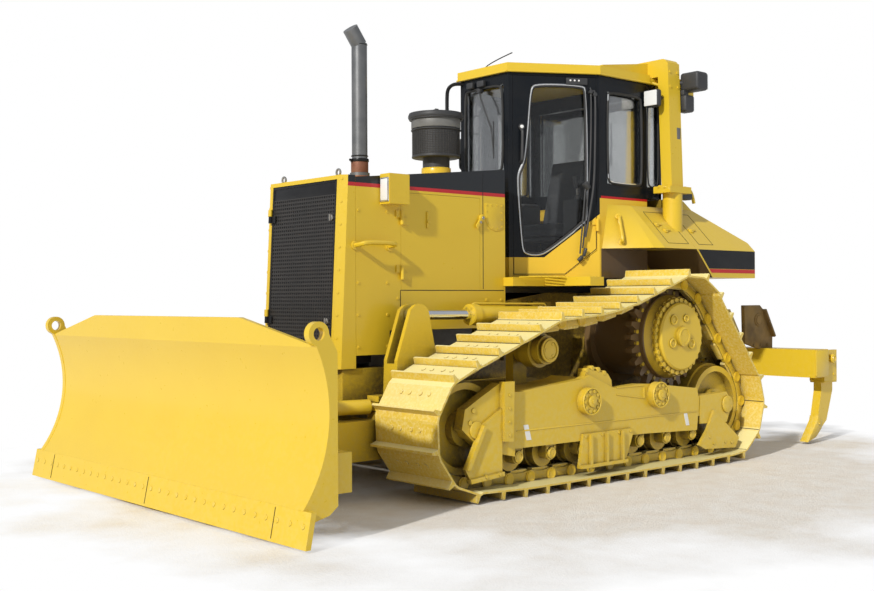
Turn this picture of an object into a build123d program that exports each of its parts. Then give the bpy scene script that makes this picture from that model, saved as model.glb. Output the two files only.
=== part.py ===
from build123d import *
import os
from math import atan2, asin, cos, sin, pi, hypot, radians, degrees, tan

# A medium crawler bulldozer: raised drive sprockets, a blade that lifts, angles and tilts on a
# C-shaped push frame, a cab with a roll-over guard, and a rear ripper on a parallelogram linkage.
#
# Everything is in millimetres. The design frame has X forward from the sprocket axle, Y to the
# machine's left and Z up from the ground. Each sub-part is written once all are known, moved so
# that the origin lies on the ground below the centre of the whole machine's box.

# ------------------------------------------------------------------ driving sizes

SEAT_GAP = 0.3             # gap between faces that seat on each other
RUN_GAP = 6.0              # side gap between pieces that swing past each other
PIN_GAP = 0.6              # radial gap of a pin in its eye

# tracks
TRACK_GAUGE = 1890.0       # between the middles of the two tracks
SHOE_W = 560.0
PITCH = 190.0              # nominal pitch of the links
GROUSER_H = 45.0           # bar above the shoe's plate
SHOE_T = 12.0
LINK_UP = 33.0             # link above the pin line, up to the shoe
LINK_DOWN = 45.0           # link below the pin line, down to the tread
LINK_NOTCH = 14.0          # half width of the notch between the feet of two links
RAIL_W = 40.0
RAIL_SPREAD = 80.0         # from the track's middle to the middle of each link rail
TIP_H = LINK_UP + SHOE_T + GROUSER_H

SPROCKET_X, SPROCKET_Z, SPROCKET_R = 0.0, 925.0, 380.0     # R is that of the pin line
CAP_R, CAP_BASE_R = 240.0, 300.0
IDLER_R = 320.0
FRONT_IDLER_X, FRONT_IDLER_Z = 2040.0, TIP_H + IDLER_R + 15.0
REAR_IDLER_X, REAR_IDLER_Z = -490.0, TIP_H + IDLER_R + 10.0
CARRIER_X, CARRIER_Z, CARRIER_R = 1320.0, 870.0, 110.0     # R is that of the tread
SAG_X, SAG_Z, SAG_R = 1288.0, 3636.0, 2600.0               # the upper run's hanging curve
ROLLER_R = 95.0
ROLLER_GAP = 0.95          # under the rails' slightly broken line
ROLLER_X0, ROLLER_STEP, ROLLERS = -105.0, 294.0, 7
CORNER_R = ROLLER_R + LINK_DOWN + 30.0     # the pin line's bend at the first and last roller
WHEEL_W, FLANGE_W, FLANGE_H = 210.0, 90.0, 18.0
WHEEL_AXLE = 135.0         # from the track's middle to the end of an idler's or roller's axle
FRAME_HALF, FRAME_PLATE = 205.0, 69.5
ROLLER_Z = TIP_H + LINK_DOWN + ROLLER_R + ROLLER_GAP

TRACK_Y = TRACK_GAUGE / 2
TRACK_IN = TRACK_Y - SHOE_W / 2
TRACK_OUT = TRACK_Y + SHOE_W / 2

# tractor body
HOOD_HW = 420.0            # half width of the engine enclosure
HOOD_X0, HOOD_X1 = 1060.0, 2360.0
HOOD_Z0 = 1255.0
HOOD_FRONT_Z, HOOD_REAR_Z = 1955.0, 2090.0
DOOR_T = 30.0
GUARD_X0, GUARD_TOP_X, GUARD_LOW_X = 2362.0, 2450.0, 2512.0
GUARD_Z0, GUARD_Z1 = 770.0, 1965.0
DECK_Z = GUARD_Z0 - SEAT_GAP       # top of the main frame under the engine
FRAME_HW = 400.0
BELLY_Z = 394.0            # ground clearance
DRIVE_OUT = 110.0          # from the frame's side to the final drive's flange

# cab
CAB_FLOOR_Z, CAB_TOP_Z, ROOF_T = 1345.0, 2820.0, 65.0
CAB_FRONT_X, CAB_FRONT_HW = 850.0, 250.0
CAB_MID_X, CAB_HW = 260.0, 590.0
CAB_REAR_X = -290.0
CAB_WALL = 50.0

# fenders, tank and roll-over guard
FENDER_Z0, FENDER_Z1 = 1560.0, 1885.0
FENDER_OUT, FENDER_TOP_Y = 930.0, 620.0
TANK_X0, TANK_X1, TANK_Z0, TANK_Z1 = -440.0, -1205.0, 1350.0, 1630.0
POST_X, POST_DX, POST_DY = -415.0, 140.0, 95.0
POST_LOW_Y, POST_TOP_Y = 732.0, 700.0
ROPS_Z0, ROPS_Z1 = 1985.0, CAB_TOP_Z + 180

HOOD_TOP_SIDE = 1880.0     # lower edge of the hood's top sheet on its sides
FRONT_SEAM_X = 2093.0
HOOD_LOW_Z, PLATE_LOW_Z = 1000.0, 850.0        # feet of the lower side sheets and of the front side plates
ENGINE_DOOR_X0, ENGINE_DOOR_X1 = 1302.0, 1996.0
GRILLE_HW, GRILLE_Z0, GRILLE_Z1 = 350.0, 900.0, 1935.0
EXHAUST_X, EXHAUST_Y, EXHAUST_Z, EXHAUST_R = 2000.0, 0.0, 3010.0, 52.0
CLEANER_X, CLEANER_Y, CLEANER_Z0, CLEANER_Z1 = 1320.0, 0.0, 2190.0, 2500.0
LAMP_X0, LAMP_X1, LAMP_Z0, LAMP_Z1 = 2003.0, 2165.0, 1794.0, 1984.0
DOOR_A0, DOOR_A2, DOOR_REAR, DOOR_RISE = 30.0, 415.0, 20.0, 180.0   # along the slanting wall
DOOR_Z0, DOOR_Z1, DOOR_GAP = 1364.0, CAB_TOP_Z - 20, 3.0
SIDE_GLASS_Z0, SIDE_GLASS_Z1 = 2035.0, CAB_TOP_Z - 110
WINDSCREEN_Z0, WINDSCREEN_Z1 = 2110.0, CAB_TOP_Z - 80

# push frame and blade
ARM_PIN_R, ARM_PIN_END = 55.0, 632.0
LIFT_PIN_R = 30.0
ARM_PIVOT_X, ARM_PIVOT_Z = 1020.0, 541.0
ARM_Y0, ARM_Y1 = 500.0, 630.0
LIFT_PIN_X, LIFT_PIN_Z = 2020.0, 1100.0
LIFT_BASE_X, LIFT_BASE_Z = 750.0, 1085.0
LIFT_Y = 565.0
LIFT_EYE_HALF = 30.0
LIFT_BARREL_R, LIFT_ROD_R = 58.0, 32.0
LIFT_GLAND_X = 1540.0
SWIVEL_X, SWIVEL_Z = 3010.0, 350.0
NOSE_X = SWIVEL_X - 210    # front of the push frame's arms
YOKE_X0, YOKE_X1 = SWIVEL_X + 110, SWIVEL_X + 190
YOKE_HW = 470.0
ANGLE_BASE_X, ANGLE_BASE_Y, ANGLE_Z = 2300.0, 565.0, 545.0
ANGLE_EYE_X, ANGLE_EYE_Y = SWIVEL_X + 90, 400.0
ANGLE_BARREL_R, ANGLE_ROD_R = 45.0, 25.0
TILT_CYL_X, TILT_CYL_Z = YOKE_X0 + 30, 760.0
CLEVIS_T = 30.0            # an ear of a small cylinder's clevis
TILT_BASE_Y, TILT_EYE_Y = -200.0, 420.0
BLADE_W, BOARD_W = 3220.0, 3090.0      # over the end bits, and over the end plates
BLADE_Z0, BLADE_SIDE_Z, BLADE_TOP_Z = 15.0, 965.0, 1105.0
BLADE_EDGE_X, BLADE_TOP_X = YOKE_X1 + 380, YOKE_X1 + 260
BLADE_EDGE_TOP, BLADE_HOLLOW = 190.0, 112.0
BLADE_FLAT_HW = 860.0      # half width of the level middle of the top edge
BOARD_T, EDGE_T, END_BIT_W = 28.0, 30.0, 300.0
END_PLATE_T, END_BACK_X = 40.0, BLADE_TOP_X - 120
EYE_X, EYE_Z, EYE_R, LIFT_EYE_R = BLADE_TOP_X - 10, 1030.0, 60.0, 32.0
RIBS, RIB_SPAN = 6, 2700.0

# ripper
RIP_FRONT_X, RIP_LOW_Z, RIP_UP_Z = -760.0, 560.0, 1000.0
RIP_DX, RIP_DZ = -930.0, 40.0      # from a link's front pin to its rear pin
RIP_LINK_Y0, RIP_LINK_Y1 = 250.0, 290.0
RIP_EAR_T = 35.0
RIP_PIN_R = 28.0
RIP_CYL_Y, RIP_CYL_R, RIP_ROD_R = 150.0, 55.0, 30.0
RIP_BASE_X, RIP_BASE_Z = -740.0, 1200.0
RIP_EYE_X, RIP_EYE_Z = -1700.0, 640.0
BEAM_X0, BEAM_X1, BEAM_Z0, BEAM_Z1, BEAM_HW = -1795.0, -2000.0, 545.0, 772.0, 1100.0
SHANK_YS = (-1000.0, 0.0, 1000.0)
SHANK_T = 70.0
SHANK_TIP_Z = 25.0

nodes = {}


# ------------------------------------------------------------------ helpers

HINGE_R, HINGE_PIN_R, HINGE_H, HINGE_OUT = 12.0, 6.0, 45.0, 14.0


def box(x0, x1, y0, y1, z0, z1):
    """A block between two opposite corners."""
    size = (abs(x1 - x0), abs(y1 - y0), abs(z1 - z0))
    return Pos((x0 + x1) / 2, (y0 + y1) / 2, (z0 + z1) / 2) * Box(*size)


def slab(points, axis, low, high):
    """A flat outline, given on the two other axes in X, Y, Z order, made thick along one axis."""
    place = {"x": lambda a, b: (low, a, b), "y": lambda a, b: (a, low, b), "z": lambda a, b: (a, b, low)}[axis]
    way = {"x": (1, 0, 0), "y": (0, 1, 0), "z": (0, 0, 1)}[axis]
    outline = Polyline(*[place(a, b) for a, b in points], close=True)
    return extrude(make_face(outline), amount=high - low, dir=way)


def tube(start, end, radius, bore=0.0):
    """A round bar, or a pipe where it has a bore, from one point to another."""
    start, end = Vector(*start), Vector(*end)
    plane = Plane(origin=start, z_dir=end - start)
    section = Circle(radius) - Circle(bore) if bore else Circle(radius)
    return extrude(plane * section, amount=(end - start).length)


def across(x, z, radius, y0, y1, bore=0.0):
    """A round bar or pipe along Y."""
    return tube((x, y0, z), (x, y1, z), radius, bore)


def other_side(part):
    """The same piece on the machine's right."""
    return mirror(part, about=Plane.XZ)


def both(part):
    """A piece and its mirror image, as separate solids of one sub-part."""
    return group(part, other_side(part))


def group(*parts):
    """Solids of one sub-part that don't touch."""
    return Compound([solid for part in parts for solid in part.solids()])


def pair(name, part):
    """Writes down a piece and its mirror image as two sub-parts."""
    nodes["left_" + name] = part
    nodes["right_" + name] = other_side(part)


def hinges(place, heights, door_lap, frame_lap, sunk=0.0):
    """The door's and the frame's halves of a row of hinges.

    The place's X runs from the hinge line along the door, its Y outward from the frame's face.
    """
    halves = []
    for way, lap, depth in ((1, door_lap, sunk), (-1, frame_lap, 0)):
        half = None
        for height in heights:
            z0, z1 = (height + SEAT_GAP, height + HINGE_H) if way > 0 else (height - HINGE_H, height)
            knuckle = tube((0, HINGE_OUT, z0), (0, HINGE_OUT, z1), HINGE_R)
            leaf = box(0, way * lap, -depth, HINGE_OUT - 4, z0, z1)
            half = knuckle + leaf if half is None else half + knuckle + leaf
        halves.append(half)
    door, frame = halves
    for height in heights:
        pin_end = height + HINGE_H - 2
        frame += tube((0, HINGE_OUT, height - HINGE_H), (0, HINGE_OUT, pin_end), HINGE_PIN_R)
        door -= tube((0, HINGE_OUT, height - 1), (0, HINGE_OUT, height + HINGE_H + 1), HINGE_PIN_R + SEAT_GAP)
    return place * door, place * frame


# ------------------------------------------------------------------ tracks

# Wheels that the track's pin line wraps, in the order it runs: x, z, radius. A negative radius
# has the wheel inside the loop, a positive one is a curve that hangs down from outside.
WRAP = [
    (FRONT_IDLER_X, FRONT_IDLER_Z, -IDLER_R),
    (CARRIER_X, CARRIER_Z, -(CARRIER_R + LINK_DOWN)),
    (SAG_X, SAG_Z, SAG_R),
    (SPROCKET_X, SPROCKET_Z, -SPROCKET_R),
    (REAR_IDLER_X, REAR_IDLER_Z, -IDLER_R),
    (ROLLER_X0, TIP_H + CORNER_R, -CORNER_R),
    (ROLLER_X0 + (ROLLERS - 1) * ROLLER_STEP, TIP_H + CORNER_R, -CORNER_R),
]


def track_path():
    """The pin line as pieces: (length, start point, heading, turn per mm)."""
    headings = []
    for (x0, z0, r0), (x1, z1, r1) in zip(WRAP, WRAP[1:] + WRAP[:1]):
        reach = hypot(x1 - x0, z1 - z0)
        headings.append(atan2(z1 - z0, x1 - x0) - asin((r0 - r1) / reach))
    pieces = []
    for k, (x, z, r) in enumerate(WRAP):
        arrive, leave = headings[k - 1], headings[k]
        turn = (leave - arrive + pi) % (2 * pi) - pi
        start = (x - r * sin(arrive), z + r * cos(arrive))
        pieces.append((abs(turn * r), start, arrive, turn / abs(turn * r)))
        end = (x - r * sin(leave), z + r * cos(leave))
        x2, z2, r2 = WRAP[(k + 1) % len(WRAP)]
        after = (x2 - r2 * sin(leave), z2 + r2 * cos(leave))
        pieces.append((hypot(after[0] - end[0], after[1] - end[1]), end, leave, 0.0))
    return pieces


def along(pieces, travel):
    """The point and heading after a way along the pin line."""
    for length, (x, z), heading, bend in pieces:
        if travel <= length:
            break
        travel -= length
    if bend == 0.0:
        return x + travel * cos(heading), z + travel * sin(heading), heading
    now = heading + bend * travel
    return x + (sin(now) - sin(heading)) / bend, z - (cos(now) - cos(heading)) / bend, now


def link_places():
    """Middle point and heading of each link, evenly spaced round the loop, and their spacing."""
    pieces = track_path()
    total = sum(piece[0] for piece in pieces)
    count = round(total / PITCH)
    step = total / count
    return [along(pieces, step * (k + 0.5)) for k in range(count)], step


def ring(places, profile):
    """A closed outline: the same few points (way along, height above the pin line) on each link."""
    points = []
    for x, z, heading in places:
        for way, height in profile:
            points.append((x + way * cos(heading) + height * sin(heading),
                           z + way * sin(heading) - height * cos(heading)))
    return points


def track():
    """Shoes with their bars and the two rails of links, as one loop."""
    places, step = link_places()
    half = step / 2 - 3.0
    under = LINK_UP
    top = LINK_UP + SHOE_T
    shoe = [(-half, top), (-half + 6, TIP_H), (-half + 20, TIP_H), (-half + 34, top), (half, top)]
    shoe_in = [(-half, under), (half, under)]
    foot, joint = 0.36 * step, 0.5 * step - LINK_NOTCH
    link_in = [(-joint, -LINK_NOTCH), (-foot, -LINK_DOWN), (foot, -LINK_DOWN), (joint, -LINK_NOTCH)]
    loop = slab(ring(places, shoe), "y", TRACK_IN, TRACK_OUT)
    loop -= slab(ring(places, shoe_in), "y", TRACK_IN, TRACK_OUT)
    for side in (-1, 1):
        middle = TRACK_Y + side * RAIL_SPREAD
        low, high = middle - RAIL_W / 2, middle + RAIL_W / 2
        rail = slab(ring(places, shoe_in), "y", low, high) - slab(ring(places, link_in), "y", low, high)
        loop += rail
    return loop


def sprocket():
    """Toothed rim between the link rails, its bolted cap outside and the final drive inside."""
    teeth = 25
    rim_w = 56.0
    points = []
    for k in range(teeth):
        for share, radius in ((-0.30, 338.0), (-0.14, 388.0), (0.14, 388.0), (0.30, 338.0)):
            angle = 2 * pi * (k + share) / teeth
            points.append((SPROCKET_X + radius * cos(angle), SPROCKET_Z + radius * sin(angle)))
    wheel = slab(points, "y", TRACK_Y - rim_w / 2, TRACK_Y + rim_w / 2)
    hub_y, cone_h, cap_h = TRACK_Y + 60, 75, 40
    wheel += across(SPROCKET_X, SPROCKET_Z, CAP_BASE_R, TRACK_Y, hub_y)
    wheel += Pos(SPROCKET_X, hub_y + cone_h / 2, SPROCKET_Z) * Rot(-90, 0, 0) * Cone(CAP_BASE_R, CAP_R, cone_h)
    cap = across(SPROCKET_X, SPROCKET_Z, CAP_R, hub_y, hub_y + cone_h + cap_h)
    wheel += chamfer(cap.edges().sort_by(Axis.Y)[-1], 12)
    return wheel + across(SPROCKET_X, SPROCKET_Z, 70, hub_y, hub_y + cone_h + cap_h + 22)


def final_drive():
    """The drum that carries the sprocket on the case."""
    flange_y = FRAME_HW + DRIVE_OUT
    drum = across(SPROCKET_X, SPROCKET_Z, 285, flange_y, TRACK_Y - 28 - SEAT_GAP)
    return drum + across(SPROCKET_X, SPROCKET_Z, 340, flange_y, flange_y + 50)


def wheel(x, z, tread, flange, axle_r, axle_in=WHEEL_AXLE, axle_out=WHEEL_AXLE):
    """An idler or roller: its tread, the flange between the link rails and its axle."""
    body = across(x, z, tread, TRACK_Y - WHEEL_W / 2, TRACK_Y + WHEEL_W / 2)
    body += across(x, z, flange, TRACK_Y - FLANGE_W / 2, TRACK_Y + FLANGE_W / 2)
    return body + across(x, z, axle_r, TRACK_Y - axle_in, TRACK_Y + axle_out)


def idlers():
    """The front and rear idlers of one track, dished on both sides."""
    tread = IDLER_R - LINK_DOWN - SEAT_GAP
    dish_r, hub_r, depth = tread - 40, 105, 55
    wheels = []
    for x, z in ((FRONT_IDLER_X, FRONT_IDLER_Z), (REAR_IDLER_X, REAR_IDLER_Z)):
        idler = wheel(x, z, tread, tread + FLANGE_H, 60)
        for side in (-1, 1):
            y0, y1 = sorted((TRACK_Y + side * (WHEEL_W / 2 - depth), TRACK_Y + side * (WHEEL_W / 2 + 1)))
            idler -= across(x, z, dish_r, y0, y1) - across(x, z, hub_r, y0 - 1, y1 + 1)
        wheels.append(idler)
    return group(*wheels)


def rollers():
    """The bottom rollers and the carrier roller of one track."""
    wheels = [wheel(ROLLER_X0 + k * ROLLER_STEP, ROLLER_Z, ROLLER_R, ROLLER_R + 12, 45)
              for k in range(ROLLERS)]
    wheels.append(wheel(CARRIER_X, CARRIER_Z, CARRIER_R - 18, CARRIER_R + 4, 45,
                        FRAME_HALF - FRAME_PLATE - SEAT_GAP, WHEEL_W / 2 + 20))
    return group(*wheels)


# Outlines of the roller frame's plates, as (x, z) corners
FRAME_SIDE = [(1840, 288), (1840, 640), (1677, 629), (1091, 680), (1020, 700), (784, 605), (513, 618),
              (350, 609), (-129, 556), (-152, 469), (-126, 258), (515, 281)]
SPRING_BOX = [(430, 490), (1720, 490), (1677, 615), (1091, 665), (1020, 685), (784, 595), (560, 595)]
FRONT_YOKE = [(1715, 240), (1990, 300), (2087, 383), (2151, 435), (2126, 550), (2005, 612), (1839, 692),
              (1715, 640)]
REAR_YOKE = [(-165, 300), (-165, 500), (-490, 510), (-560, 420), (-490, 290)]
FRONT_GUARD = [(1842, 160), (2105, 140), (2144, 202), (2006, 453), (1842, 540)]
FRONT_FLANGE = [(1754, 700), (1765, 339), (1841, 345), (1841, 700)]
GUARD_RIB = [(2006, 453), (1984, 441), (2118, 200), (2144, 202)]
FRONT_FOOT = [(1842, 140), (2112, 120), (2118, 145), (1842, 165)]
CENTRE_GUARD = [(1117, 330), (615, 330), (615, 290), (689, 124), (1147, 123), (1117, 292)]
CENTRE_FOOT = [(689, 112), (1147, 111), (1147, 133), (689, 134)]
REAR_GUARD = [(-308, 388), (-618, 168), (-567, 98), (-196, 117), (-125, 151), (-221, 250)]
TOP_BRACKET = [(760, 560), (1050, 560), (1034, 720), (1000, 738), (810, 700), (774, 655)]
FRAME_CAPS = ((1062, 537), (350, 538))
CAP_BOLTED_R, GUARD_OUT, RIB_OUT, CAP_OUT = 88.0, 20.0, 40.0, 50.0


def track_frame():
    """The roller frame inside the track: side plates, spring box, idler yokes, guards and caps."""
    out_y, in_y = TRACK_Y + FRAME_HALF, TRACK_Y - FRAME_HALF
    x_low, x_high = REAR_IDLER_X + IDLER_R, FRONT_IDLER_X - IDLER_R
    top_z, low_z = SPROCKET_Z - SPROCKET_R - 45, ROLLER_Z + 25
    frame = box(x_low, x_high, in_y, out_y - 5, ROLLER_Z + ROLLER_R + 30, top_z)
    frame += box(x_low, x_high, in_y, in_y + FRAME_PLATE, low_z, top_z)
    frame += slab(FRAME_SIDE, "y", out_y - FRAME_PLATE, out_y)
    frame += slab(SPRING_BOX, "y", in_y + FRAME_PLATE - 1, out_y - 20)
    frame += slab(TOP_BRACKET, "y", out_y - 95, out_y - 30)
    frame += box(CARRIER_X - 60, CARRIER_X + 60, in_y, in_y + FRAME_PLATE, top_z - 5, CARRIER_Z + 55)
    for yoke in (FRONT_YOKE, REAR_YOKE):
        for side in (-1, 1):
            y0, y1 = sorted((TRACK_Y + side * (WHEEL_AXLE + SEAT_GAP), TRACK_Y + side * FRAME_HALF))
            frame += slab(yoke, "y", y0, y1)
    for plate in (FRONT_GUARD, CENTRE_GUARD, REAR_GUARD):
        frame += slab(plate, "y", out_y - 3, out_y + GUARD_OUT)
    for rib in (FRONT_FLANGE, GUARD_RIB, FRONT_FOOT, CENTRE_FOOT):
        frame += slab(rib, "y", out_y - 3, out_y + RIB_OUT)
    for x in (735, 893, 1050):
        frame += box(x - 10, x + 10, out_y - 3, out_y + RIB_OUT, 120, 325)
    for k in range(ROLLERS):
        x = ROLLER_X0 + k * ROLLER_STEP
        frame += box(x - 45, x + 45, out_y - FRAME_PLATE, out_y - 30, ROLLER_Z, 300)
        frame += across(x, ROLLER_Z, 45, out_y - FRAME_PLATE, out_y - 30)
    for x, z in FRAME_CAPS:
        frame += across(x, z, CAP_BOLTED_R, out_y - 3, out_y + CAP_OUT)
    return frame


pair("track", track())
nodes["sprockets"] = both(sprocket())
nodes["final_drives"] = both(final_drive())
nodes["idlers"] = both(idlers())
nodes["rollers"] = both(rollers())
nodes["track_frames"] = both(track_frame())


# ------------------------------------------------------------------ tractor body

def main_frame():
    """The welded main frame under the engine with the rear case that carries the drives."""
    front_x = GUARD_LOW_X - 60
    side = [(-640, 470), (-560, BELLY_Z), (1900, BELLY_Z), (front_x, 520), (front_x, DECK_Z),
            (HOOD_X0, DECK_Z), (HOOD_X0, 1180), (620, 1240), (-640, 1240)]
    frame = slab(side, "y", -FRAME_HW, FRAME_HW)
    for way in (-1, 1):
        y0, y1 = sorted((way * (FRAME_HW - 5), way * (FRAME_HW + DRIVE_OUT - SEAT_GAP)))
        frame += slab([(-380, 600), (380, 600), (300, 1235), (-300, 1235)], "y", y0, y1)
        # bracket of the lift cylinder's base and pivot of the push frame
        y0, y1 = sorted((way * (FRAME_HW - 5), way * (LIFT_Y - LIFT_BARREL_R - 12)))
        frame += box(LIFT_BASE_X - 70, LIFT_BASE_X + 70, y0, y1, LIFT_BASE_Z - 90, LIFT_BASE_Z + 90)
        y0, y1 = sorted((way * (FRAME_HW - 5), way * (LIFT_Y - LIFT_EYE_HALF - RUN_GAP)))
        frame += across(LIFT_BASE_X, LIFT_BASE_Z, 65, y0, y1)
        y0, y1 = sorted((way * (FRAME_HW - 5), way * ARM_PIN_END))
        frame += across(ARM_PIVOT_X, ARM_PIVOT_Z, ARM_PIN_R, y0, y1)
        y0, y1 = sorted((way * (FRAME_HW - 5), way * (ARM_Y0 - 3)))
        frame += across(ARM_PIVOT_X, ARM_PIVOT_Z, 120, y0, y1)
        y0, y1 = sorted((way * (LIFT_Y - 50), way * (LIFT_Y + LIFT_EYE_HALF + 15)))
        frame += across(LIFT_BASE_X, LIFT_BASE_Z, LIFT_PIN_R, y0, y1)
    return frame


def pivot_shafts():
    """The cross shafts that carry the roller frames on the main frame."""
    y_end = TRACK_Y - FRAME_HALF - SEAT_GAP
    shafts = []
    for x, z, r in ((350, 470, 75), (700, 440, 60)):
        for way in (-1, 1):
            y0, y1 = sorted((way * (FRAME_HW + SEAT_GAP), way * y_end))
            shafts.append(across(x, z, r, y0, y1))
    return group(*shafts)


def engine():
    """The engine, hidden in its enclosure, as one block."""
    return box(1250, 2150, -280, 280, DECK_Z + SEAT_GAP, 1700)


def hood_slope(x):
    """Height of the hood's top at a place along it."""
    share = (HOOD_X1 - x) / (HOOD_X1 - HOOD_X0)
    return HOOD_FRONT_Z + share * (HOOD_REAR_Z - HOOD_FRONT_Z)


def on_hood(part):
    """What is left of a piece above the hood's sloping top."""
    below = [(HOOD_X0, HOOD_TOP_SIDE), (HOOD_X1, HOOD_TOP_SIDE), (HOOD_X1, HOOD_FRONT_Z + SEAT_GAP),
             (HOOD_X0, HOOD_REAR_Z + SEAT_GAP)]
    return part - slab(below, "y", -HOOD_HW, HOOD_HW)


engine_hinge = Plane(origin=(ENGINE_DOOR_X1 + 1, HOOD_HW, (HOOD_Z0 + HOOD_TOP_SIDE) / 2), x_dir=(-1, 0, 0),
                     z_dir=(0, 0, -1))
engine_hinge_door, engine_hinge_frame = hinges(engine_hinge, (-150, 200), 60, 45)


def hood():
    """The hood's top sheet with its rear wall and the lower side sheets."""
    edge = HOOD_HW - DOOR_T - 1
    outer = [(HOOD_X0, HOOD_TOP_SIDE), (HOOD_X1, HOOD_TOP_SIDE), (HOOD_X1, HOOD_FRONT_Z),
             (HOOD_X0, HOOD_REAR_Z)]
    top = slab(outer, "y", -HOOD_HW, HOOD_HW)
    inner = [(HOOD_X0 - 5, HOOD_TOP_SIDE - 1), (HOOD_X1 + 5, HOOD_TOP_SIDE - 1),
             (HOOD_X1 + 5, HOOD_FRONT_Z - 25), (HOOD_X0 - 5, HOOD_REAR_Z - 25)]
    top -= slab(inner, "y", -edge, edge)
    top += box(HOOD_X0, HOOD_X0 + 25, -edge, edge, GUARD_Z0 + 60, HOOD_REAR_Z - 20)
    for way in (-1, 1):
        y0, y1 = sorted((way * (HOOD_HW - DOOR_T), way * HOOD_HW))
        top += box(HOOD_X0, ENGINE_DOOR_X0 - 2, y0, y1, HOOD_Z0, HOOD_TOP_SIDE + 5)
        top += box(ENGINE_DOOR_X1 + 2, HOOD_X1, y0, y1, HOOD_LOW_Z, HOOD_TOP_SIDE + 5)
        top += box(FRONT_SEAM_X, HOOD_X1, y0, y1, PLATE_LOW_Z, HOOD_LOW_Z + 5)
        top += box(HOOD_X0, ENGINE_DOOR_X1 + 5, y0, y1, HOOD_LOW_Z, HOOD_Z0 - 2)
        top += box(HOOD_X0, HOOD_X0 + 80, y0, y1, HOOD_LOW_Z, HOOD_Z0 + 5)
    return top + engine_hinge_frame + other_side(engine_hinge_frame)


def engine_door():
    """The side door of the engine enclosure, hung at its front edge."""
    return box(ENGINE_DOOR_X0, ENGINE_DOOR_X1, HOOD_HW - DOOR_T, HOOD_HW, HOOD_Z0, HOOD_TOP_SIDE - 2)


def guard_face_x(z, inset=0.0):
    """X of the radiator guard's leaning front face at a height."""
    share = (z - GUARD_Z0) / (GUARD_Z1 - GUARD_Z0)
    return GUARD_LOW_X + share * (GUARD_TOP_X - GUARD_LOW_X) - inset


grille_mid_z = (GRILLE_Z0 + GRILLE_Z1) / 2
grille_hinge = Plane(origin=(guard_face_x(grille_mid_z), -GRILLE_HW - 2, grille_mid_z), x_dir=(0, 1, 0),
                     z_dir=(GUARD_LOW_X - GUARD_TOP_X, 0, GUARD_Z0 - GUARD_Z1))
grille_hinge_door, grille_hinge_frame = hinges(grille_hinge, (-330, 330), 50, 35, 8)


def radiator_guard():
    """The heavy box round the radiator: side walls, top and the frame of the grille."""
    side = [(GUARD_X0, GUARD_Z0), (GUARD_LOW_X, GUARD_Z0), (GUARD_TOP_X, GUARD_Z1), (GUARD_X0, GUARD_Z1)]
    guard = slab(side, "y", -HOOD_HW, HOOD_HW)
    guard = chamfer(guard.edges().filter_by(lambda e: e.center().X > GUARD_TOP_X - 10 and e.length > 900), 35)
    opening = box(GUARD_X0 - 10, GUARD_LOW_X + 50, -GRILLE_HW - 4, GRILLE_HW + 4, GRILLE_Z0 - 4, GRILLE_Z1 + 4)
    guard -= opening
    return guard + grille_hinge_frame


def grille_door():
    """The perforated grille in its frame, hung at its right edge."""
    outline = [(guard_face_x(GRILLE_Z0, 40), GRILLE_Z0), (guard_face_x(GRILLE_Z0, 6), GRILLE_Z0),
               (guard_face_x(GRILLE_Z1, 6), GRILLE_Z1), (guard_face_x(GRILLE_Z1, 40), GRILLE_Z1)]
    return slab(outline, "y", -GRILLE_HW, GRILLE_HW) + grille_hinge_door


def radiator_core():
    """The radiator behind the grille."""
    return box(GUARD_X0 - 180, GUARD_X0 - SEAT_GAP, -340, 340, GUARD_Z0 + 30, GUARD_Z1 - 60)


def exhaust():
    """The upright exhaust pipe with its bent, obliquely cut end."""
    foot_z = hood_slope(EXHAUST_X) - 15
    pipe = tube((EXHAUST_X, EXHAUST_Y, foot_z), (EXHAUST_X, EXHAUST_Y, EXHAUST_Z - 110), EXHAUST_R)
    tip = tube((EXHAUST_X, EXHAUST_Y, EXHAUST_Z - 120), (EXHAUST_X + 75, EXHAUST_Y, EXHAUST_Z - 20), EXHAUST_R)
    base = tube((EXHAUST_X, EXHAUST_Y, foot_z), (EXHAUST_X, EXHAUST_Y, foot_z + 60), EXHAUST_R + 14)
    return on_hood(pipe + tip + base)


def pre_cleaner():
    """The air pre-cleaner's bowl on its neck."""
    foot_z = hood_slope(CLEANER_X) - 15
    x, y = CLEANER_X, CLEANER_Y
    body = tube((x, y, foot_z), (x, y, CLEANER_Z0 + 10), 95)
    body += tube((x, y, CLEANER_Z0), (x, y, CLEANER_Z1 - 40), 165)
    return on_hood(body + tube((x, y, CLEANER_Z1 - 45), (x, y, CLEANER_Z1), 190))


def headlights():
    """The two lamp boxes on the hood's upper front corners."""
    lamp = box(LAMP_X0, LAMP_X1, HOOD_HW + SEAT_GAP, HOOD_HW + 95, LAMP_Z0, LAMP_Z1)
    return both(lamp)


nodes["main_frame"] = main_frame()
nodes["pivot_shafts"] = pivot_shafts()
nodes["engine"] = engine()
nodes["hood"] = hood()
pair("engine_door", engine_door() + engine_hinge_door)
nodes["radiator_guard"] = radiator_guard()
nodes["grille_door"] = grille_door()
nodes["radiator_core"] = radiator_core()
nodes["exhaust"] = exhaust()
nodes["pre_cleaner"] = pre_cleaner()


# ------------------------------------------------------------------ cab

def cab_plan(inset=0.0):
    """The cab's six-sided plan, or the same with its walls drawn in."""
    slope = atan2(CAB_HW - CAB_FRONT_HW, CAB_FRONT_X - CAB_MID_X)
    front_hw = CAB_FRONT_HW - inset * (1 / cos(slope) - tan(slope))
    mid_x = CAB_MID_X - inset * tan(slope / 2)
    half = [(CAB_REAR_X + inset, CAB_HW - inset), (mid_x, CAB_HW - inset), (CAB_FRONT_X - inset, front_hw)]
    return half + [(x, -y) for x, y in reversed(half)]


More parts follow.
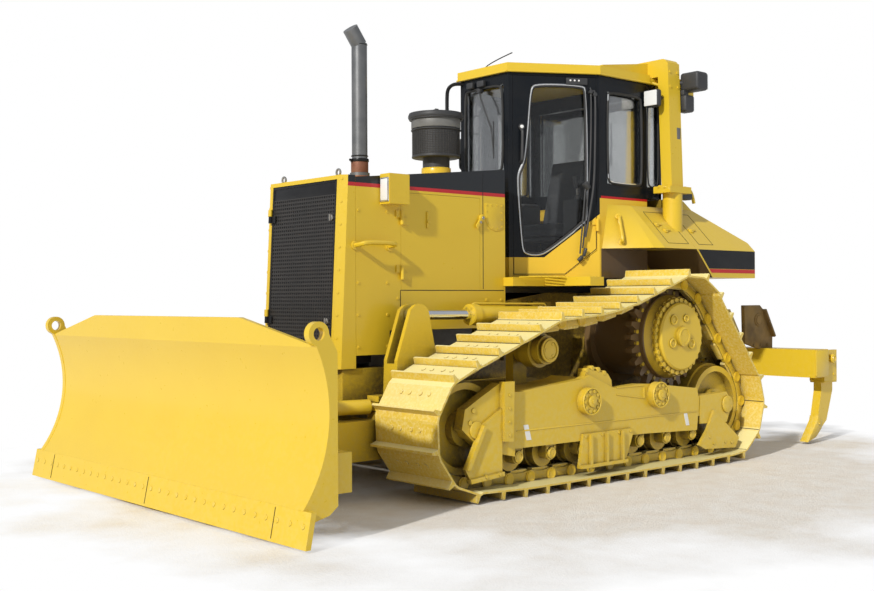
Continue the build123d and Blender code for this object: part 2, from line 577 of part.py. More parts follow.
def door_face():
    """Corner, direction and length of the slanting left wall that holds the door."""
    start, end = Vector(CAB_FRONT_X, CAB_FRONT_HW, 0), Vector(CAB_MID_X, CAB_HW, 0)
    return start, (end - start).normalized(), (end - start).length


def on_door_wall(points, depth_out, depth_in):
    """A slab in the slanting wall: points are (way back along the wall, height)."""
    start, way, _ = door_face()
    outward = Vector(-way.Y, way.X, 0)
    if outward.Y < 0:
        outward = -outward
    corners = [start + way * a + outward * depth_out + Vector(0, 0, z) for a, z in points]
    face = make_face(Polyline(*corners, close=True))
    return extrude(face, amount=depth_out + depth_in, dir=tuple(-outward))


door_start, door_way, door_wall_w = door_face()
cab_hinge = Plane(origin=door_start + door_way * (door_wall_w - DOOR_REAR - 1) + Vector(0, 0, 2150),
                  x_dir=-door_way, z_dir=(0, 0, 1))
cab_hinge_door, cab_hinge_frame = hinges(cab_hinge, (-420, 470), 45, 18)


def cab_shell():
    """The cab's floor, pillars and walls, hollow, with every window and doorway cut."""
    shell = slab(cab_plan(), "z", CAB_FLOOR_Z, CAB_TOP_Z)
    shell -= slab(cab_plan(CAB_WALL), "z", CAB_FLOOR_Z + 60, CAB_TOP_Z + 10)
    _, _, wall_w = door_face()
    doorway = [(DOOR_A0, DOOR_Z0), (DOOR_A2, DOOR_Z0), (wall_w - DOOR_REAR, DOOR_Z0 + DOOR_RISE),
               (wall_w - DOOR_REAR, DOOR_Z1), (DOOR_A0, DOOR_Z1)]
    cut = on_door_wall(doorway, 20, CAB_WALL + 30)
    shell -= cut
    shell -= other_side(cut)
    shell -= box(CAB_REAR_X + 60, CAB_MID_X - 90, -CAB_HW - 10, CAB_HW + 10, SIDE_GLASS_Z0, SIDE_GLASS_Z1)
    shell -= box(CAB_REAR_X - 10, CAB_REAR_X + CAB_WALL + 10, -480, 480, SIDE_GLASS_Z0, SIDE_GLASS_Z1)
    shell -= box(CAB_FRONT_X - CAB_WALL - 10, CAB_FRONT_X + 10, -200, 200, WINDSCREEN_Z0, WINDSCREEN_Z1)
    return shell + cab_hinge_frame + other_side(cab_hinge_frame)


def cab_roof():
    """The roof panel, a little wider than the walls."""
    return slab(cab_plan(-20), "z", CAB_TOP_Z + SEAT_GAP, CAB_TOP_Z + ROOF_T)


def cab_door():
    """The door: a frame as thick as the wall round its glass."""
    _, _, wall_w = door_face()
    gap = DOOR_GAP
    back = wall_w - DOOR_REAR - gap
    outline = [(DOOR_A0 + gap, DOOR_Z0 + gap), (DOOR_A2, DOOR_Z0 + gap), (back, DOOR_Z0 + DOOR_RISE + gap),
               (back, DOOR_Z1 - gap), (DOOR_A0 + gap, DOOR_Z1 - gap)]
    door = on_door_wall(outline, 0, CAB_WALL) - on_door_wall(door_window(), 20, CAB_WALL + 40)
    return door + cab_hinge_door


def door_window(inset=0.0):
    """Outline of the glass in the door: its foot reaches further forward than its head."""
    _, _, wall_w = door_face()
    back, foot, head = wall_w - DOOR_REAR - 80 - inset, DOOR_Z0 + 155 + inset, DOOR_Z1 - 70 - inset
    return [(102 + inset, foot + 40), (135 + inset, foot), (255 - inset, foot), (back, foot + 245), (back, head),
            (172 + inset, head), (148 + inset, head - 310), (124 + inset, head - 555), (70 + inset, head - 650)]


def door_glass():
    """The door's pane."""
    return on_door_wall(door_window(SEAT_GAP), -20, 26)


def cab_glass():
    """The windscreen, the rear pane and the two fixed side panes."""
    gap = SEAT_GAP
    front_hw, rear_hw = 200 - gap, 480 - gap
    front = box(CAB_FRONT_X - 30, CAB_FRONT_X - 24, -front_hw, front_hw, WINDSCREEN_Z0 + gap, WINDSCREEN_Z1 - gap)
    rear = box(CAB_REAR_X + 24, CAB_REAR_X + 30, -rear_hw, rear_hw, SIDE_GLASS_Z0 + gap, SIDE_GLASS_Z1 - gap)
    side = box(CAB_REAR_X + 60 + gap, CAB_MID_X - 90 - gap, CAB_HW - 30, CAB_HW - 24,
               SIDE_GLASS_Z0 + gap, SIDE_GLASS_Z1 - gap)
    return group(front, rear, side, other_side(side))


def seat():
    """The operator's seat on its pedestal."""
    floor = CAB_FLOOR_Z + 60 + SEAT_GAP
    body = box(-90, 200, -150, 150, floor, floor + 260)
    body += box(-130, 330, -230, 230, floor + 255, floor + 370)
    return body + slab([(-60, floor + 365), (-190, floor + 900), (-110, floor + 920), (30, floor + 365)],
                       "y", -220, 220)


def controls():
    """The side consoles and the dash that carry the levers."""
    floor = CAB_FLOOR_Z + 60 + SEAT_GAP
    consoles = both(box(-60, 330, 300, 430, floor, floor + 520))
    dash = box(690, 798, -150, 150, floor, floor + 560)
    return group(consoles, dash)


nodes["cab_shell"] = cab_shell()
nodes["cab_roof"] = cab_roof()
pair("cab_door", cab_door())
pair("door_glass", door_glass())
nodes["cab_glass"] = cab_glass()
nodes["seat"] = seat()
nodes["controls"] = controls()


# ------------------------------------------------------------------ fenders, tank and roll-over guard

def fender():
    """The fender box beside the cab, sloping up from its outer edge to the cab."""
    low = [(235, CAB_HW + SEAT_GAP), (20, FENDER_OUT - 40), (-60, FENDER_OUT), (TANK_X0 + 1, FENDER_OUT),
           (TANK_X0 + 1, CAB_HW + SEAT_GAP)]
    high = [(170, CAB_HW + SEAT_GAP), (-40, FENDER_TOP_Y - 5), (-60, FENDER_TOP_Y),
            (TANK_X0 + 1, FENDER_TOP_Y), (TANK_X0 + 1, CAB_HW + SEAT_GAP)]
    sections = [Face(Wire.make_polygon([(x, y, z) for x, y in ring_], close=True))
                for ring_, z in ((low, FENDER_Z0), (high, FENDER_Z1))]
    return loft(sections, ruled=True)


def fuel_tank():
    """The tank across the rear, with sloping top and shoulders."""
    hw = FENDER_OUT
    side = [(TANK_X0, FENDER_Z0), (TANK_X0 - 200, TANK_Z0), (TANK_X1, TANK_Z0), (TANK_X1, TANK_Z1),
            (-700, 1950), (TANK_X0, 1950)]
    tank = slab(side, "y", -hw, hw)
    shoulder = [(hw, FENDER_Z0), (hw + 50, FENDER_Z0), (hw + 50, ROPS_Z0), (FENDER_TOP_Y, ROPS_Z0),
                (FENDER_TOP_Y, FENDER_Z1)]
    for way in (1, -1):
        tank -= slab([(way * y, z) for y, z in shoulder], "x", TANK_X1 - 50, TANK_X0 + 50)
    return tank


def rops():
    """The roll-over guard: two posts, the beam across them and the plate over the cab."""
    guard = None
    for way in (-1, 1):
        post = loft([Pos(POST_X, way * POST_LOW_Y, ROPS_Z0 + 40) * Rectangle(POST_DX, POST_DY),
                     Pos(POST_X, way * POST_TOP_Y, ROPS_Z1 - 30) * Rectangle(POST_DX, POST_DY)])
        flange = Pos(POST_X, way * POST_LOW_Y, ROPS_Z0 + 25) * Box(POST_DX + 120, POST_DY + 60, 50)
        guard = post + flange if guard is None else guard + post + flange
    post_x0, post_x1, beam_hw = POST_X - POST_DX / 2, POST_X + POST_DX / 2, POST_TOP_Y + 40
    beam = box(post_x0, post_x1, -beam_hw, beam_hw, ROPS_Z1 - 130, ROPS_Z1)
    guard += fillet(beam.edges().filter_by(Axis.X).group_by(Axis.Z)[-1], 45)
    roof_z = CAB_TOP_Z + ROOF_T
    canopy = [(POST_X, ROPS_Z1 - 110), (180, roof_z + 12), (180, roof_z + 25), (POST_X, ROPS_Z1 - 5)]
    return guard + slab(canopy, "y", -560, 560)


def rops_feet():
    """The round pads on the slanting shoulders that the posts are bolted to."""
    foot = tube((POST_X, POST_LOW_Y, FENDER_Z0), (POST_X, POST_LOW_Y, ROPS_Z0 - SEAT_GAP), 74)
    below = [(FENDER_OUT, FENDER_Z0 - 50), (FENDER_OUT, FENDER_Z0 + SEAT_GAP),
             (FENDER_TOP_Y, FENDER_Z1 + SEAT_GAP), (FENDER_TOP_Y, FENDER_Z0 - 50)]
    return foot - slab(below, "x", POST_X - 100, POST_X + 100)


def steps():
    """The step plates under the doors."""
    inner = HOOD_HW + 2
    outline = [(1080, inner), (1080, 515), (760, 515), (700, 880), (560, 880), (400, CAB_HW), (400, inner)]
    return slab(outline, "z", 1285, CAB_FLOOR_Z - SEAT_GAP)


def cab_mount():
    """The platform on the case that the cab stands on."""
    return box(CAB_REAR_X, HOOD_X0 - 5, -HOOD_HW, HOOD_HW, 1240 + SEAT_GAP, CAB_FLOOR_Z - SEAT_GAP)


def rear_lamps():
    """Lamp housings behind the posts' tops."""
    x0 = POST_X - POST_DX / 2 - SEAT_GAP
    return both(box(x0 - 190, x0, POST_TOP_Y - 60, POST_TOP_Y + 40, ROPS_Z1 - 300, ROPS_Z1 - 140))


nodes["fenders"] = both(fender())
nodes["fuel_tank"] = fuel_tank()
nodes["rops"] = group(rops(), both(rops_feet()))
nodes["steps"] = both(steps())
nodes["cab_mount"] = cab_mount()
nodes["lamps"] = group(headlights(), rear_lamps())


# ------------------------------------------------------------------ push frame and its cylinders

def cylinder_barrel(base, eye, radius, rod_r, length, eye_axis, eye_half, pin_r):
    """A hydraulic barrel with the eye at its base, its gland and the bore for the rod."""
    base, eye = Vector(*base), Vector(*eye)
    way = (eye - base).normalized()
    start = base + way * (pin_r + 48)
    end = base + way * length
    barrel = tube(start, end, radius) + tube(base, start, eye_half - 2)
    barrel += tube(end - way * 60, end, radius + 12)
    axis = Vector(*eye_axis)
    barrel += tube(base - axis * eye_half, base + axis * eye_half, pin_r + 28)
    barrel -= tube(base - axis * (eye_half + 1), base + axis * (eye_half + 1), pin_r + PIN_GAP)
    return barrel - tube(base + way * (pin_r + 70), end + way, rod_r + PIN_GAP)


def cylinder_rod(base, eye, rod_r, start_at, eye_axis, eye_half, eye_r):
    """A hydraulic rod with the eye at its end, pin and all."""
    base, eye = Vector(*base), Vector(*eye)
    way = (eye - base).normalized()
    axis = Vector(*eye_axis)
    rod = tube(base + way * start_at, eye - way * (eye_r - 12), rod_r)
    return rod + tube(eye - axis * eye_half, eye + axis * eye_half, eye_r)


def push_frame():
    """The C-shaped frame: two arms on pivots inside the tracks, the cross box and the nose fork."""
    arm_side = [(ARM_PIVOT_X, ARM_PIVOT_Z + 120), (ARM_PIVOT_X, ARM_PIVOT_Z - 120), (1750, 330), (2300, 230),
                (NOSE_X, 230), (NOSE_X, 470), (2235, 470), (2200, 560), (1700, 660)]
    frame = None
    for way in (-1, 1):
        y0, y1 = sorted((way * ARM_Y0, way * ARM_Y1))
        arm = slab(arm_side, "y", y0, y1) + across(ARM_PIVOT_X, ARM_PIVOT_Z, 120, y0, y1)
        arm -= across(ARM_PIVOT_X, ARM_PIVOT_Z, ARM_PIN_R + PIN_GAP, y0 - 1, y1 + 1)
        bracket = [(1830, 560), (2215, 540), (2205, 820), (2095, 1130), (2060, 1158), (2020, 1168), (1980, 1158),
                   (1950, 1130), (1880, 820)]
        bracket_part = slab(bracket, "y", y0, y1)
        slot0, slot1 = sorted((way * (LIFT_Y - LIFT_EYE_HALF - 6), way * (LIFT_Y + LIFT_EYE_HALF + 6)))
        bracket_part -= box(1800, 2230, slot0, slot1, 800, 1200)
        arm += bracket_part
        for z0, z1 in ((ANGLE_Z - 80, ANGLE_Z - 30), (ANGLE_Z + 30, ANGLE_Z + 65)):
            arm += box(ANGLE_BASE_X - 80, ANGLE_BASE_X + 45, y0 + 10, y1 - 10, z0, z1)
        arm += box(ANGLE_BASE_X - 90, ANGLE_BASE_X - 62, y0 + 10, y1 - 10, 470, ANGLE_Z + 65)
        pin_x, pin_y = ANGLE_BASE_X, way * ANGLE_BASE_Y
        arm += tube((pin_x, pin_y, ANGLE_Z - 66), (pin_x, pin_y, ANGLE_Z + 66), 22)
        frame = arm if frame is None else frame + arm
    half_cross = [(NOSE_X - 100, -ARM_Y1), (NOSE_X - 10, -ARM_Y1), (NOSE_X + 80, -330), (NOSE_X + 115, -120)]
    cross = half_cross + [(x, -y) for x, y in reversed(half_cross)]
    frame += slab(cross, "z", SWIVEL_Z - 120, SWIVEL_Z + 120)
    for z0, z1 in ((SWIVEL_Z - 120, SWIVEL_Z - 80), (SWIVEL_Z + 80, SWIVEL_Z + 120)):
        frame += box(NOSE_X + 100, SWIVEL_X, -90, 90, z0, z1)
        frame += tube((SWIVEL_X, 0, z0), (SWIVEL_X, 0, z1), 90)
    frame += tube((SWIVEL_X, 0, SWIVEL_Z - 118), (SWIVEL_X, 0, SWIVEL_Z + 118), 45)
    return frame


def blade_yoke():
    """The yoke that turns on the nose's upright pin and carries the blade's tilt pin."""
    hub = tube((SWIVEL_X, 0, SWIVEL_Z - 74), (SWIVEL_X, 0, SWIVEL_Z + 74), 80)
    hub += box(SWIVEL_X, YOKE_X1, -70, 70, SWIVEL_Z - 74, SWIVEL_Z + 74)
    hub -= tube((SWIVEL_X, 0, SWIVEL_Z - 80), (SWIVEL_X, 0, SWIVEL_Z + 80), 45 + PIN_GAP)
    yoke = hub + box(YOKE_X0, YOKE_X1, -YOKE_HW, YOKE_HW, SWIVEL_Z - 74, SWIVEL_Z + 74)
    yoke += tube((YOKE_X1 - 5, 0, SWIVEL_Z), (YOKE_X1 + 120, 0, SWIVEL_Z), 60)
    for way in (-1, 1):
        y = way * ANGLE_EYE_Y
        for z0, z1 in ((ANGLE_Z - 65, ANGLE_Z - 31), (ANGLE_Z + 31, ANGLE_Z + 65)):
            yoke += box(ANGLE_EYE_X, YOKE_X1, y - 45, y + 45, z0, z1)
            yoke += tube((ANGLE_EYE_X, y, z0), (ANGLE_EYE_X, y, z1), 45)
        yoke += box(YOKE_X0 + 45, YOKE_X1, y - 45, y + 45, SWIVEL_Z + 70, ANGLE_Z + 65)
    x_low, x_high = TILT_CYL_X - 28 - CLEVIS_T, TILT_CYL_X + 28 + CLEVIS_T
    for x0, x1 in ((x_low, x_low + CLEVIS_T), (x_high - CLEVIS_T, x_high)):
        yoke += box(x0, x1, TILT_BASE_Y - 60, TILT_BASE_Y + 45, SWIVEL_Z + 70, TILT_CYL_Z + 45)
    yoke += box(x_low, x_high, TILT_BASE_Y - 60, TILT_BASE_Y + 45, SWIVEL_Z + 70, TILT_CYL_Z - 70)
    return yoke + tube((x_low, TILT_BASE_Y, TILT_CYL_Z), (x_high, TILT_BASE_Y, TILT_CYL_Z), 20)


def board_x(z, inset=0.0):
    """X of the blade's curved face at a height: an arc from the cutting edge's top to the top edge."""
    low_x, low_z = BLADE_EDGE_X - 35, BLADE_EDGE_TOP
    middle_z = (low_z + BLADE_SIDE_Z) / 2
    share = (z - low_z) / (BLADE_SIDE_Z - low_z)
    chord_x = low_x + share * (BLADE_TOP_X - low_x)
    return chord_x - BLADE_HOLLOW * (1 - ((z - middle_z) / (BLADE_SIDE_Z - low_z) * 2) ** 2) - inset


def board_outline(y, front, back):
    """Closed outline of the curved board's section at a place across, between two offsets."""
    low, mid, top = BLADE_EDGE_TOP, (BLADE_EDGE_TOP + BLADE_SIDE_Z) / 2, BLADE_SIDE_Z
    points = [(board_x(z) + front, y, z) for z in (low, mid, top)]
    behind = [(board_x(z) - back, y, z) for z in (top, mid, low)]
    upper = [(board_x(top) + front + 14, y, BLADE_TOP_Z), (board_x(top) - back + 14, y, BLADE_TOP_Z)]
    return make_face([ThreePointArc(*points), Polyline(points[2], *upper, behind[0]),
                      ThreePointArc(*behind), Line(behind[2], points[0])])


def end_plate():
    """The blade's left end plate with its lift eye."""
    low, mid, top = BLADE_EDGE_TOP, (BLADE_EDGE_TOP + BLADE_SIDE_Z) / 2, BLADE_SIDE_Z
    y0, y1 = BOARD_W / 2 - END_PLATE_T, BOARD_W / 2
    front = ThreePointArc(*[(board_x(z) + 3, y0, z) for z in (low, mid, top)])
    front_x, foot_x = board_x(low) + 3, board_x(low) - EDGE_T - 2
    rest = Polyline((board_x(top) + 3, y0, top), (EYE_X + EYE_R - 1, y0, EYE_Z), (EYE_X - EYE_R + 1, y0, EYE_Z),
                    (END_BACK_X, y0, EYE_Z - 90), (END_BACK_X, y0, low), (END_BACK_X + 50, y0, low - 40),
                    (foot_x, y0, low - 70), (foot_x, y0, low), (front_x, y0, low))
    plate = extrude(make_face([front, rest]), amount=END_PLATE_T, dir=(0, 1, 0))
    plate += across(EYE_X, EYE_Z, EYE_R, y0, y1)
    return plate - across(EYE_X, EYE_Z, LIFT_EYE_R, y0 - 1, y1 + 1)


def blade():
    """The moldboard with its end plates, back beams, tilt boss, cylinder lug and lift eyes."""
    hw = BOARD_W / 2
    low, mid, top = BLADE_EDGE_TOP, (BLADE_EDGE_TOP + BLADE_SIDE_Z) / 2, BLADE_SIDE_Z
    inner_hw = hw - END_PLATE_T
    board = extrude(board_outline(-inner_hw - 1, 0, BOARD_T), amount=2 * inner_hw + 2, dir=(0, 1, 0))
    for way in (-1, 1):
        corner = [(way * (hw + 1), BLADE_SIDE_Z), (way * (hw + 1), BLADE_TOP_Z + 5),
                  (way * BLADE_FLAT_HW, BLADE_TOP_Z + 5), (way * BLADE_FLAT_HW, BLADE_TOP_Z)]
        board -= slab(corner, "x", BLADE_TOP_X - 100, BLADE_TOP_X + 100)
    back_x = board_x(mid) - 110
    sunk = BOARD_T / 2
    for z0, z1, x_back in ((240, 440, YOKE_X1 + 26), (870, 940, back_x + 45)):
        heights = [z0 + k * (z1 - z0) / 4 for k in range(5)]
        beam = [(board_x(z) - sunk, z) for z in heights] + [(x_back, z1), (x_back, z0)]
        board += slab(beam, "y", -inner_hw - 1, inner_hw + 1)
    for k in range(RIBS):
        y = -RIB_SPAN / 2 + k * RIB_SPAN / (RIBS - 1)
        front = [(board_x(z) - sunk, z) for z in (low, 300, 450, mid, 700, 890)]
        rib = front + [(back_x + 60, 890), (back_x, 430), (YOKE_X1 + 40, 260), (board_x(low) - 60, low)]
        board += slab(rib, "y", y - 12, y + 12)
    board += tube((YOKE_X1 + 6, 0, SWIVEL_Z), (board_x(SWIVEL_Z) - 60, 0, SWIVEL_Z), 115)
    board -= tube((YOKE_X1 + 5, 0, SWIVEL_Z), (YOKE_X1 + 124, 0, SWIVEL_Z), 60 + PIN_GAP)
    for x0, x1 in ((TILT_CYL_X - 65, TILT_CYL_X - 29), (TILT_CYL_X + 29, TILT_CYL_X + 65)):
        ear = box(x0, x1, TILT_EYE_Y + 15, TILT_EYE_Y + 95, TILT_CYL_Z - 45, TILT_CYL_Z + 45)
        board += ear + tube((x0, TILT_EYE_Y, TILT_CYL_Z), (x1, TILT_EYE_Y, TILT_CYL_Z), 42)
    board += box(TILT_CYL_X - 65, board_x(TILT_CYL_Z) - 15, TILT_EYE_Y + 60, TILT_EYE_Y + 100,
                 TILT_CYL_Z - 60, TILT_CYL_Z + 60)
    plate = end_plate()
    return board + plate + other_side(plate)


def edge_strip(y0, y1, height, thick):
    """A stretch of the bolted edge along the blade's foot."""
    low_x = board_x(BLADE_EDGE_TOP)
    slope = (BLADE_EDGE_X - low_x) / (BLADE_EDGE_TOP - BLADE_Z0)
    top_z = BLADE_Z0 + height
    top_x = BLADE_EDGE_X - slope * height
    strip = [(BLADE_EDGE_X, BLADE_Z0), (top_x, top_z), (top_x - thick, top_z),
             (BLADE_EDGE_X - thick, BLADE_Z0)]
    return slab(strip, "y", y0, y1)


def cutting_edge():
    """The straight cutting edge between the end bits."""
    hw = BLADE_W / 2 - END_BIT_W
    return edge_strip(-hw, hw, BLADE_EDGE_TOP - BLADE_Z0 - SEAT_GAP, EDGE_T)


def end_bits():
    """The two end bits of the blade's edge."""
    y0 = BLADE_W / 2 - END_BIT_W + SEAT_GAP
    return both(edge_strip(y0, BLADE_W / 2, BLADE_EDGE_TOP - BLADE_Z0 - SEAT_GAP, EDGE_T))


def lift_cylinders():
    """Barrels and rods of the two lift cylinders."""
    base = (LIFT_BASE_X, LIFT_Y, LIFT_BASE_Z)
    eye = (LIFT_PIN_X, LIFT_Y, LIFT_PIN_Z)
    length = LIFT_GLAND_X - LIFT_BASE_X
    barrel = cylinder_barrel(base, eye, LIFT_BARREL_R, LIFT_ROD_R, length, (0, 1, 0), LIFT_EYE_HALF,
                             LIFT_PIN_R)
    rod = cylinder_rod(base, eye, LIFT_ROD_R, 520, (0, 1, 0), LIFT_EYE_HALF, 50)
    return both(barrel), both(rod)


def angle_cylinder():
    """Barrel and rod of the left angle cylinder."""
    base = (ANGLE_BASE_X, ANGLE_BASE_Y, ANGLE_Z)
    eye = (ANGLE_EYE_X, ANGLE_EYE_Y, ANGLE_Z)
    barrel = cylinder_barrel(base, eye, ANGLE_BARREL_R, ANGLE_ROD_R, 560, (0, 0, 1), 24, 22)
    return barrel, cylinder_rod(base, eye, ANGLE_ROD_R, 290, (0, 0, 1), 24, 38)


def tilt_cylinder():
    """Barrel and rod of the tilt cylinder."""
    base = (TILT_CYL_X, TILT_BASE_Y, TILT_CYL_Z)
    eye = (TILT_CYL_X, TILT_EYE_Y, TILT_CYL_Z)
    barrel = cylinder_barrel(base, eye, 48, 26, 430, (1, 0, 0), 22, 20)
    return barrel, cylinder_rod(base, eye, 26, 300, (1, 0, 0), 22, 38)


nodes["push_frame"] = push_frame()
nodes["blade_yoke"] = blade_yoke()
nodes["blade"] = blade()
nodes["cutting_edges"] = group(cutting_edge(), end_bits())
nodes["lift_barrels"], nodes["lift_rods"] = lift_cylinders()
left_barrel, left_rod = angle_cylinder()
pair("angle_barrel", left_barrel)
pair("angle_rod", left_rod)
nodes["tilt_barrel"], nodes["tilt_rod"] = tilt_cylinder()


# ------------------------------------------------------------------ ripper

def ripper_mount():
    """The bracket on the rear case that the ripper's links and cylinders hang from."""
    plate = box(-640 - 40, -640 - SEAT_GAP, -360, 360, 440, 1239)
    ear_y0 = RIP_LINK_Y1 + RUN_GAP
    for way in (-1, 1):
        y0, y1 = sorted((way * ear_y0, way * (ear_y0 + RIP_EAR_T)))
        for z in (RIP_LOW_Z, RIP_UP_Z):
            plate += box(RIP_FRONT_X, -645, y0, y1, z - 60, z + 60) + across(RIP_FRONT_X, z, 60, y0, y1)
            p0, p1 = sorted((way * (RIP_LINK_Y0 - 8), way * (ear_y0 + 1)))
            plate += across(RIP_FRONT_X, z, RIP_PIN_R, p0, p1)
        for ear0 in (RIP_CYL_Y - 30 - RUN_GAP - RIP_EAR_T, RIP_CYL_Y + 30 + RUN_GAP):
            y0, y1 = sorted((way * ear0, way * (ear0 + RIP_EAR_T)))
            plate += box(RIP_BASE_X, -645, y0, y1, RIP_BASE_Z - 50, RIP_BASE_Z + 39)
            plate += across(RIP_BASE_X, RIP_BASE_Z, 50, y0, y1)
        p0, p1 = sorted((way * (RIP_CYL_Y - 40), way * (RIP_CYL_Y + 40)))
        plate += across(RIP_BASE_X, RIP_BASE_Z, RIP_PIN_R, p0, p1)
    return plate


def ripper_link(z_front, tie):
    """A pair of link bars with an eye at each end and the tie between them."""
    x0, x1 = RIP_FRONT_X, RIP_FRONT_X + RIP_DX
    z0, z1 = z_front, z_front + RIP_DZ
    link = None
    for way in (-1, 1):
        y0, y1 = sorted((way * RIP_LINK_Y0, way * RIP_LINK_Y1))
        bar = slab([(x0, z0 + 45), (x0, z0 - 45), (x1, z1 - 45), (x1, z1 + 45)], "y", y0, y1)
        for x, z in ((x0, z0), (x1, z1)):
            bar += across(x, z, 58, y0, y1)
        for x, z in ((x0, z0), (x1, z1)):
            bar -= across(x, z, RIP_PIN_R + PIN_GAP, y0 - 1, y1 + 1)
        link = bar if link is None else link + bar
    share0, share1, height = tie
    tie_x0, tie_x1 = x0 + share0 * RIP_DX, x0 + share1 * RIP_DX
    z = (z0 + z1) / 2
    return link + box(tie_x0, tie_x1, -RIP_LINK_Y0 - 5, RIP_LINK_Y0 + 5, z - height / 2, z + height / 2)


def ripper_beam():
    """The cross beam with its lugs, tower and the pockets for the shanks."""
    beam = box(BEAM_X0, BEAM_X1, -BEAM_HW, BEAM_HW, BEAM_Z0, BEAM_Z1)
    ear_y0 = RIP_LINK_Y1 + RUN_GAP
    low_z, up_z = RIP_LOW_Z + RIP_DZ, RIP_UP_Z + RIP_DZ
    pin_x = RIP_FRONT_X + RIP_DX
    tower = [(BEAM_X0 + 5, BEAM_Z0 - 20), (pin_x + 60, low_z - 55), (pin_x + 60, up_z + 60),
             (pin_x - 60, up_z + 60),
             (BEAM_X1 + 20, BEAM_Z1), (BEAM_X1 + 20, BEAM_Z1 - 20), (BEAM_X0 + 5, BEAM_Z1 - 20)]
    for way in (-1, 1):
        y0, y1 = sorted((way * ear_y0, way * (ear_y0 + RIP_EAR_T)))
        beam += slab(tower, "y", y0, y1)
        for z in (low_z, up_z):
            p0, p1 = sorted((way * (RIP_LINK_Y0 - 8), way * (ear_y0 + 1)))
            beam += across(pin_x, z, RIP_PIN_R, p0, p1)
        for ear0 in (RIP_CYL_Y - 30 - RUN_GAP - RIP_EAR_T, RIP_CYL_Y + 30 + RUN_GAP):
            y0, y1 = sorted((way * ear0, way * (ear0 + RIP_EAR_T)))
            beam += box(BEAM_X0 - 5, RIP_EYE_X, y0, y1, RIP_EYE_Z - 50, RIP_EYE_Z + 50)
            beam += across(RIP_EYE_X, RIP_EYE_Z, 50, y0, y1)
    for y in SHANK_YS:
        for side in (-1, 1):
            y0, y1 = sorted((y + side * (SHANK_T / 2 + 2), y + side * (SHANK_T / 2 + 32)))
            beam += box(BEAM_X1 + 5, BEAM_X1 - 190, y0, y1, BEAM_Z0 - 40, BEAM_Z1 - 10)
        beam += across(BEAM_X1 - 100, BEAM_Z1 - 80, 26, y - SHANK_T / 2 - 45, y + SHANK_T / 2 + 45)
    return beam


def shanks():
    """The three ripper shanks with their points."""
    x = BEAM_X1
    front = x - SEAT_GAP - 1
    side = [(front, BEAM_Z1 - 20), (front, BEAM_Z0 - 120), (x + 60, 180), (x + 205, SHANK_TIP_Z),
            (x + 90, 60), (x - 80, 180), (x - 175, BEAM_Z0 - 120), (x - 175, BEAM_Z1 - 20)]
    pieces = []
    for y in SHANK_YS:
        shank = slab(side, "y", y - SHANK_T / 2, y + SHANK_T / 2)
        shank -= across(x - 100, BEAM_Z1 - 80, 26 + PIN_GAP, y - SHANK_T, y + SHANK_T)
        pieces.append(shank)
    return group(*pieces)


def ripper_cylinders():
    """Barrels and rods of the two ripper cylinders."""
    base = (RIP_BASE_X, RIP_CYL_Y, RIP_BASE_Z)
    eye = (RIP_EYE_X, RIP_CYL_Y, RIP_EYE_Z)
    barrel = cylinder_barrel(base, eye, RIP_CYL_R, RIP_ROD_R, 700, (0, 1, 0), 30, RIP_PIN_R)
    rod = cylinder_rod(base, eye, RIP_ROD_R, 400, (0, 1, 0), 30, 46)
    return both(barrel), both(rod)


nodes["ripper_mount"] = ripper_mount()
nodes["ripper_lower_link"] = ripper_link(RIP_LOW_Z, (0.35, 0.62, 50))
nodes["ripper_upper_link"] = ripper_link(RIP_UP_Z, (0.80, 0.88, 50))
nodes["ripper_beam"] = ripper_beam()
nodes["ripper_shanks"] = shanks()
nodes["ripper_barrels"], nodes["ripper_rods"] = ripper_cylinders()

os.makedirs("parts", exist_ok=True)
span = group(*nodes.values()).bounding_box()
shift = Pos(-(span.min.X + span.max.X) / 2, -(span.min.Y + span.max.Y) / 2, -span.min.Z)
for name, part in nodes.items():
    export_step(shift * part, "parts/" + name + ".step")
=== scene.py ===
# %% [markdown]
# A tracked bulldozer with paint, glass and fittings
#
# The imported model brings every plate, arm and track in its place, in metres, with X forward, Y to the left
# and Z up. This lesson gives it paint, steel and glass, and adds the small things that fasten, seal and
# finish it.

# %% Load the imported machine
import bpy, bmesh, math
from math import radians, cos, sin, pi
from mathutils import Matrix, Vector


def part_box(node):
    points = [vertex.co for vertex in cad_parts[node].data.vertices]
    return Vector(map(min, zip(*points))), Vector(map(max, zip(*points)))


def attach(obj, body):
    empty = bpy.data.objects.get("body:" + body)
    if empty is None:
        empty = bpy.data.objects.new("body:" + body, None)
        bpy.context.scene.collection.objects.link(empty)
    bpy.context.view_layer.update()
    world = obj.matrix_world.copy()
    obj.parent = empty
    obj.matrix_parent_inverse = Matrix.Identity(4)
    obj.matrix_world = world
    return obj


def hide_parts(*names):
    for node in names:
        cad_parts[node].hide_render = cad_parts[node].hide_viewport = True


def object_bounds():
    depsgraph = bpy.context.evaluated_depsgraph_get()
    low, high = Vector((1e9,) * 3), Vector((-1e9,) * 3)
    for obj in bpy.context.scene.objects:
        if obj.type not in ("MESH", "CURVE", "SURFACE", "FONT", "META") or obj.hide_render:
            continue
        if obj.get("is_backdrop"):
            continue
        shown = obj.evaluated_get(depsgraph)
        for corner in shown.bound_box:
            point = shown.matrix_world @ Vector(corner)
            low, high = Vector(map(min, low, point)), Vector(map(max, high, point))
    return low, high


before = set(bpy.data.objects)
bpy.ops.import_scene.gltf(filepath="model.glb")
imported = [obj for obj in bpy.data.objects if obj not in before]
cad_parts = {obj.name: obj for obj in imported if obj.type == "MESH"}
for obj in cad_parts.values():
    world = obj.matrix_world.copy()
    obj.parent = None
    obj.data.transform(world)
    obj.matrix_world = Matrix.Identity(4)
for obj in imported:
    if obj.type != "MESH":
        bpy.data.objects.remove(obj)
cad_low, cad_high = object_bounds()
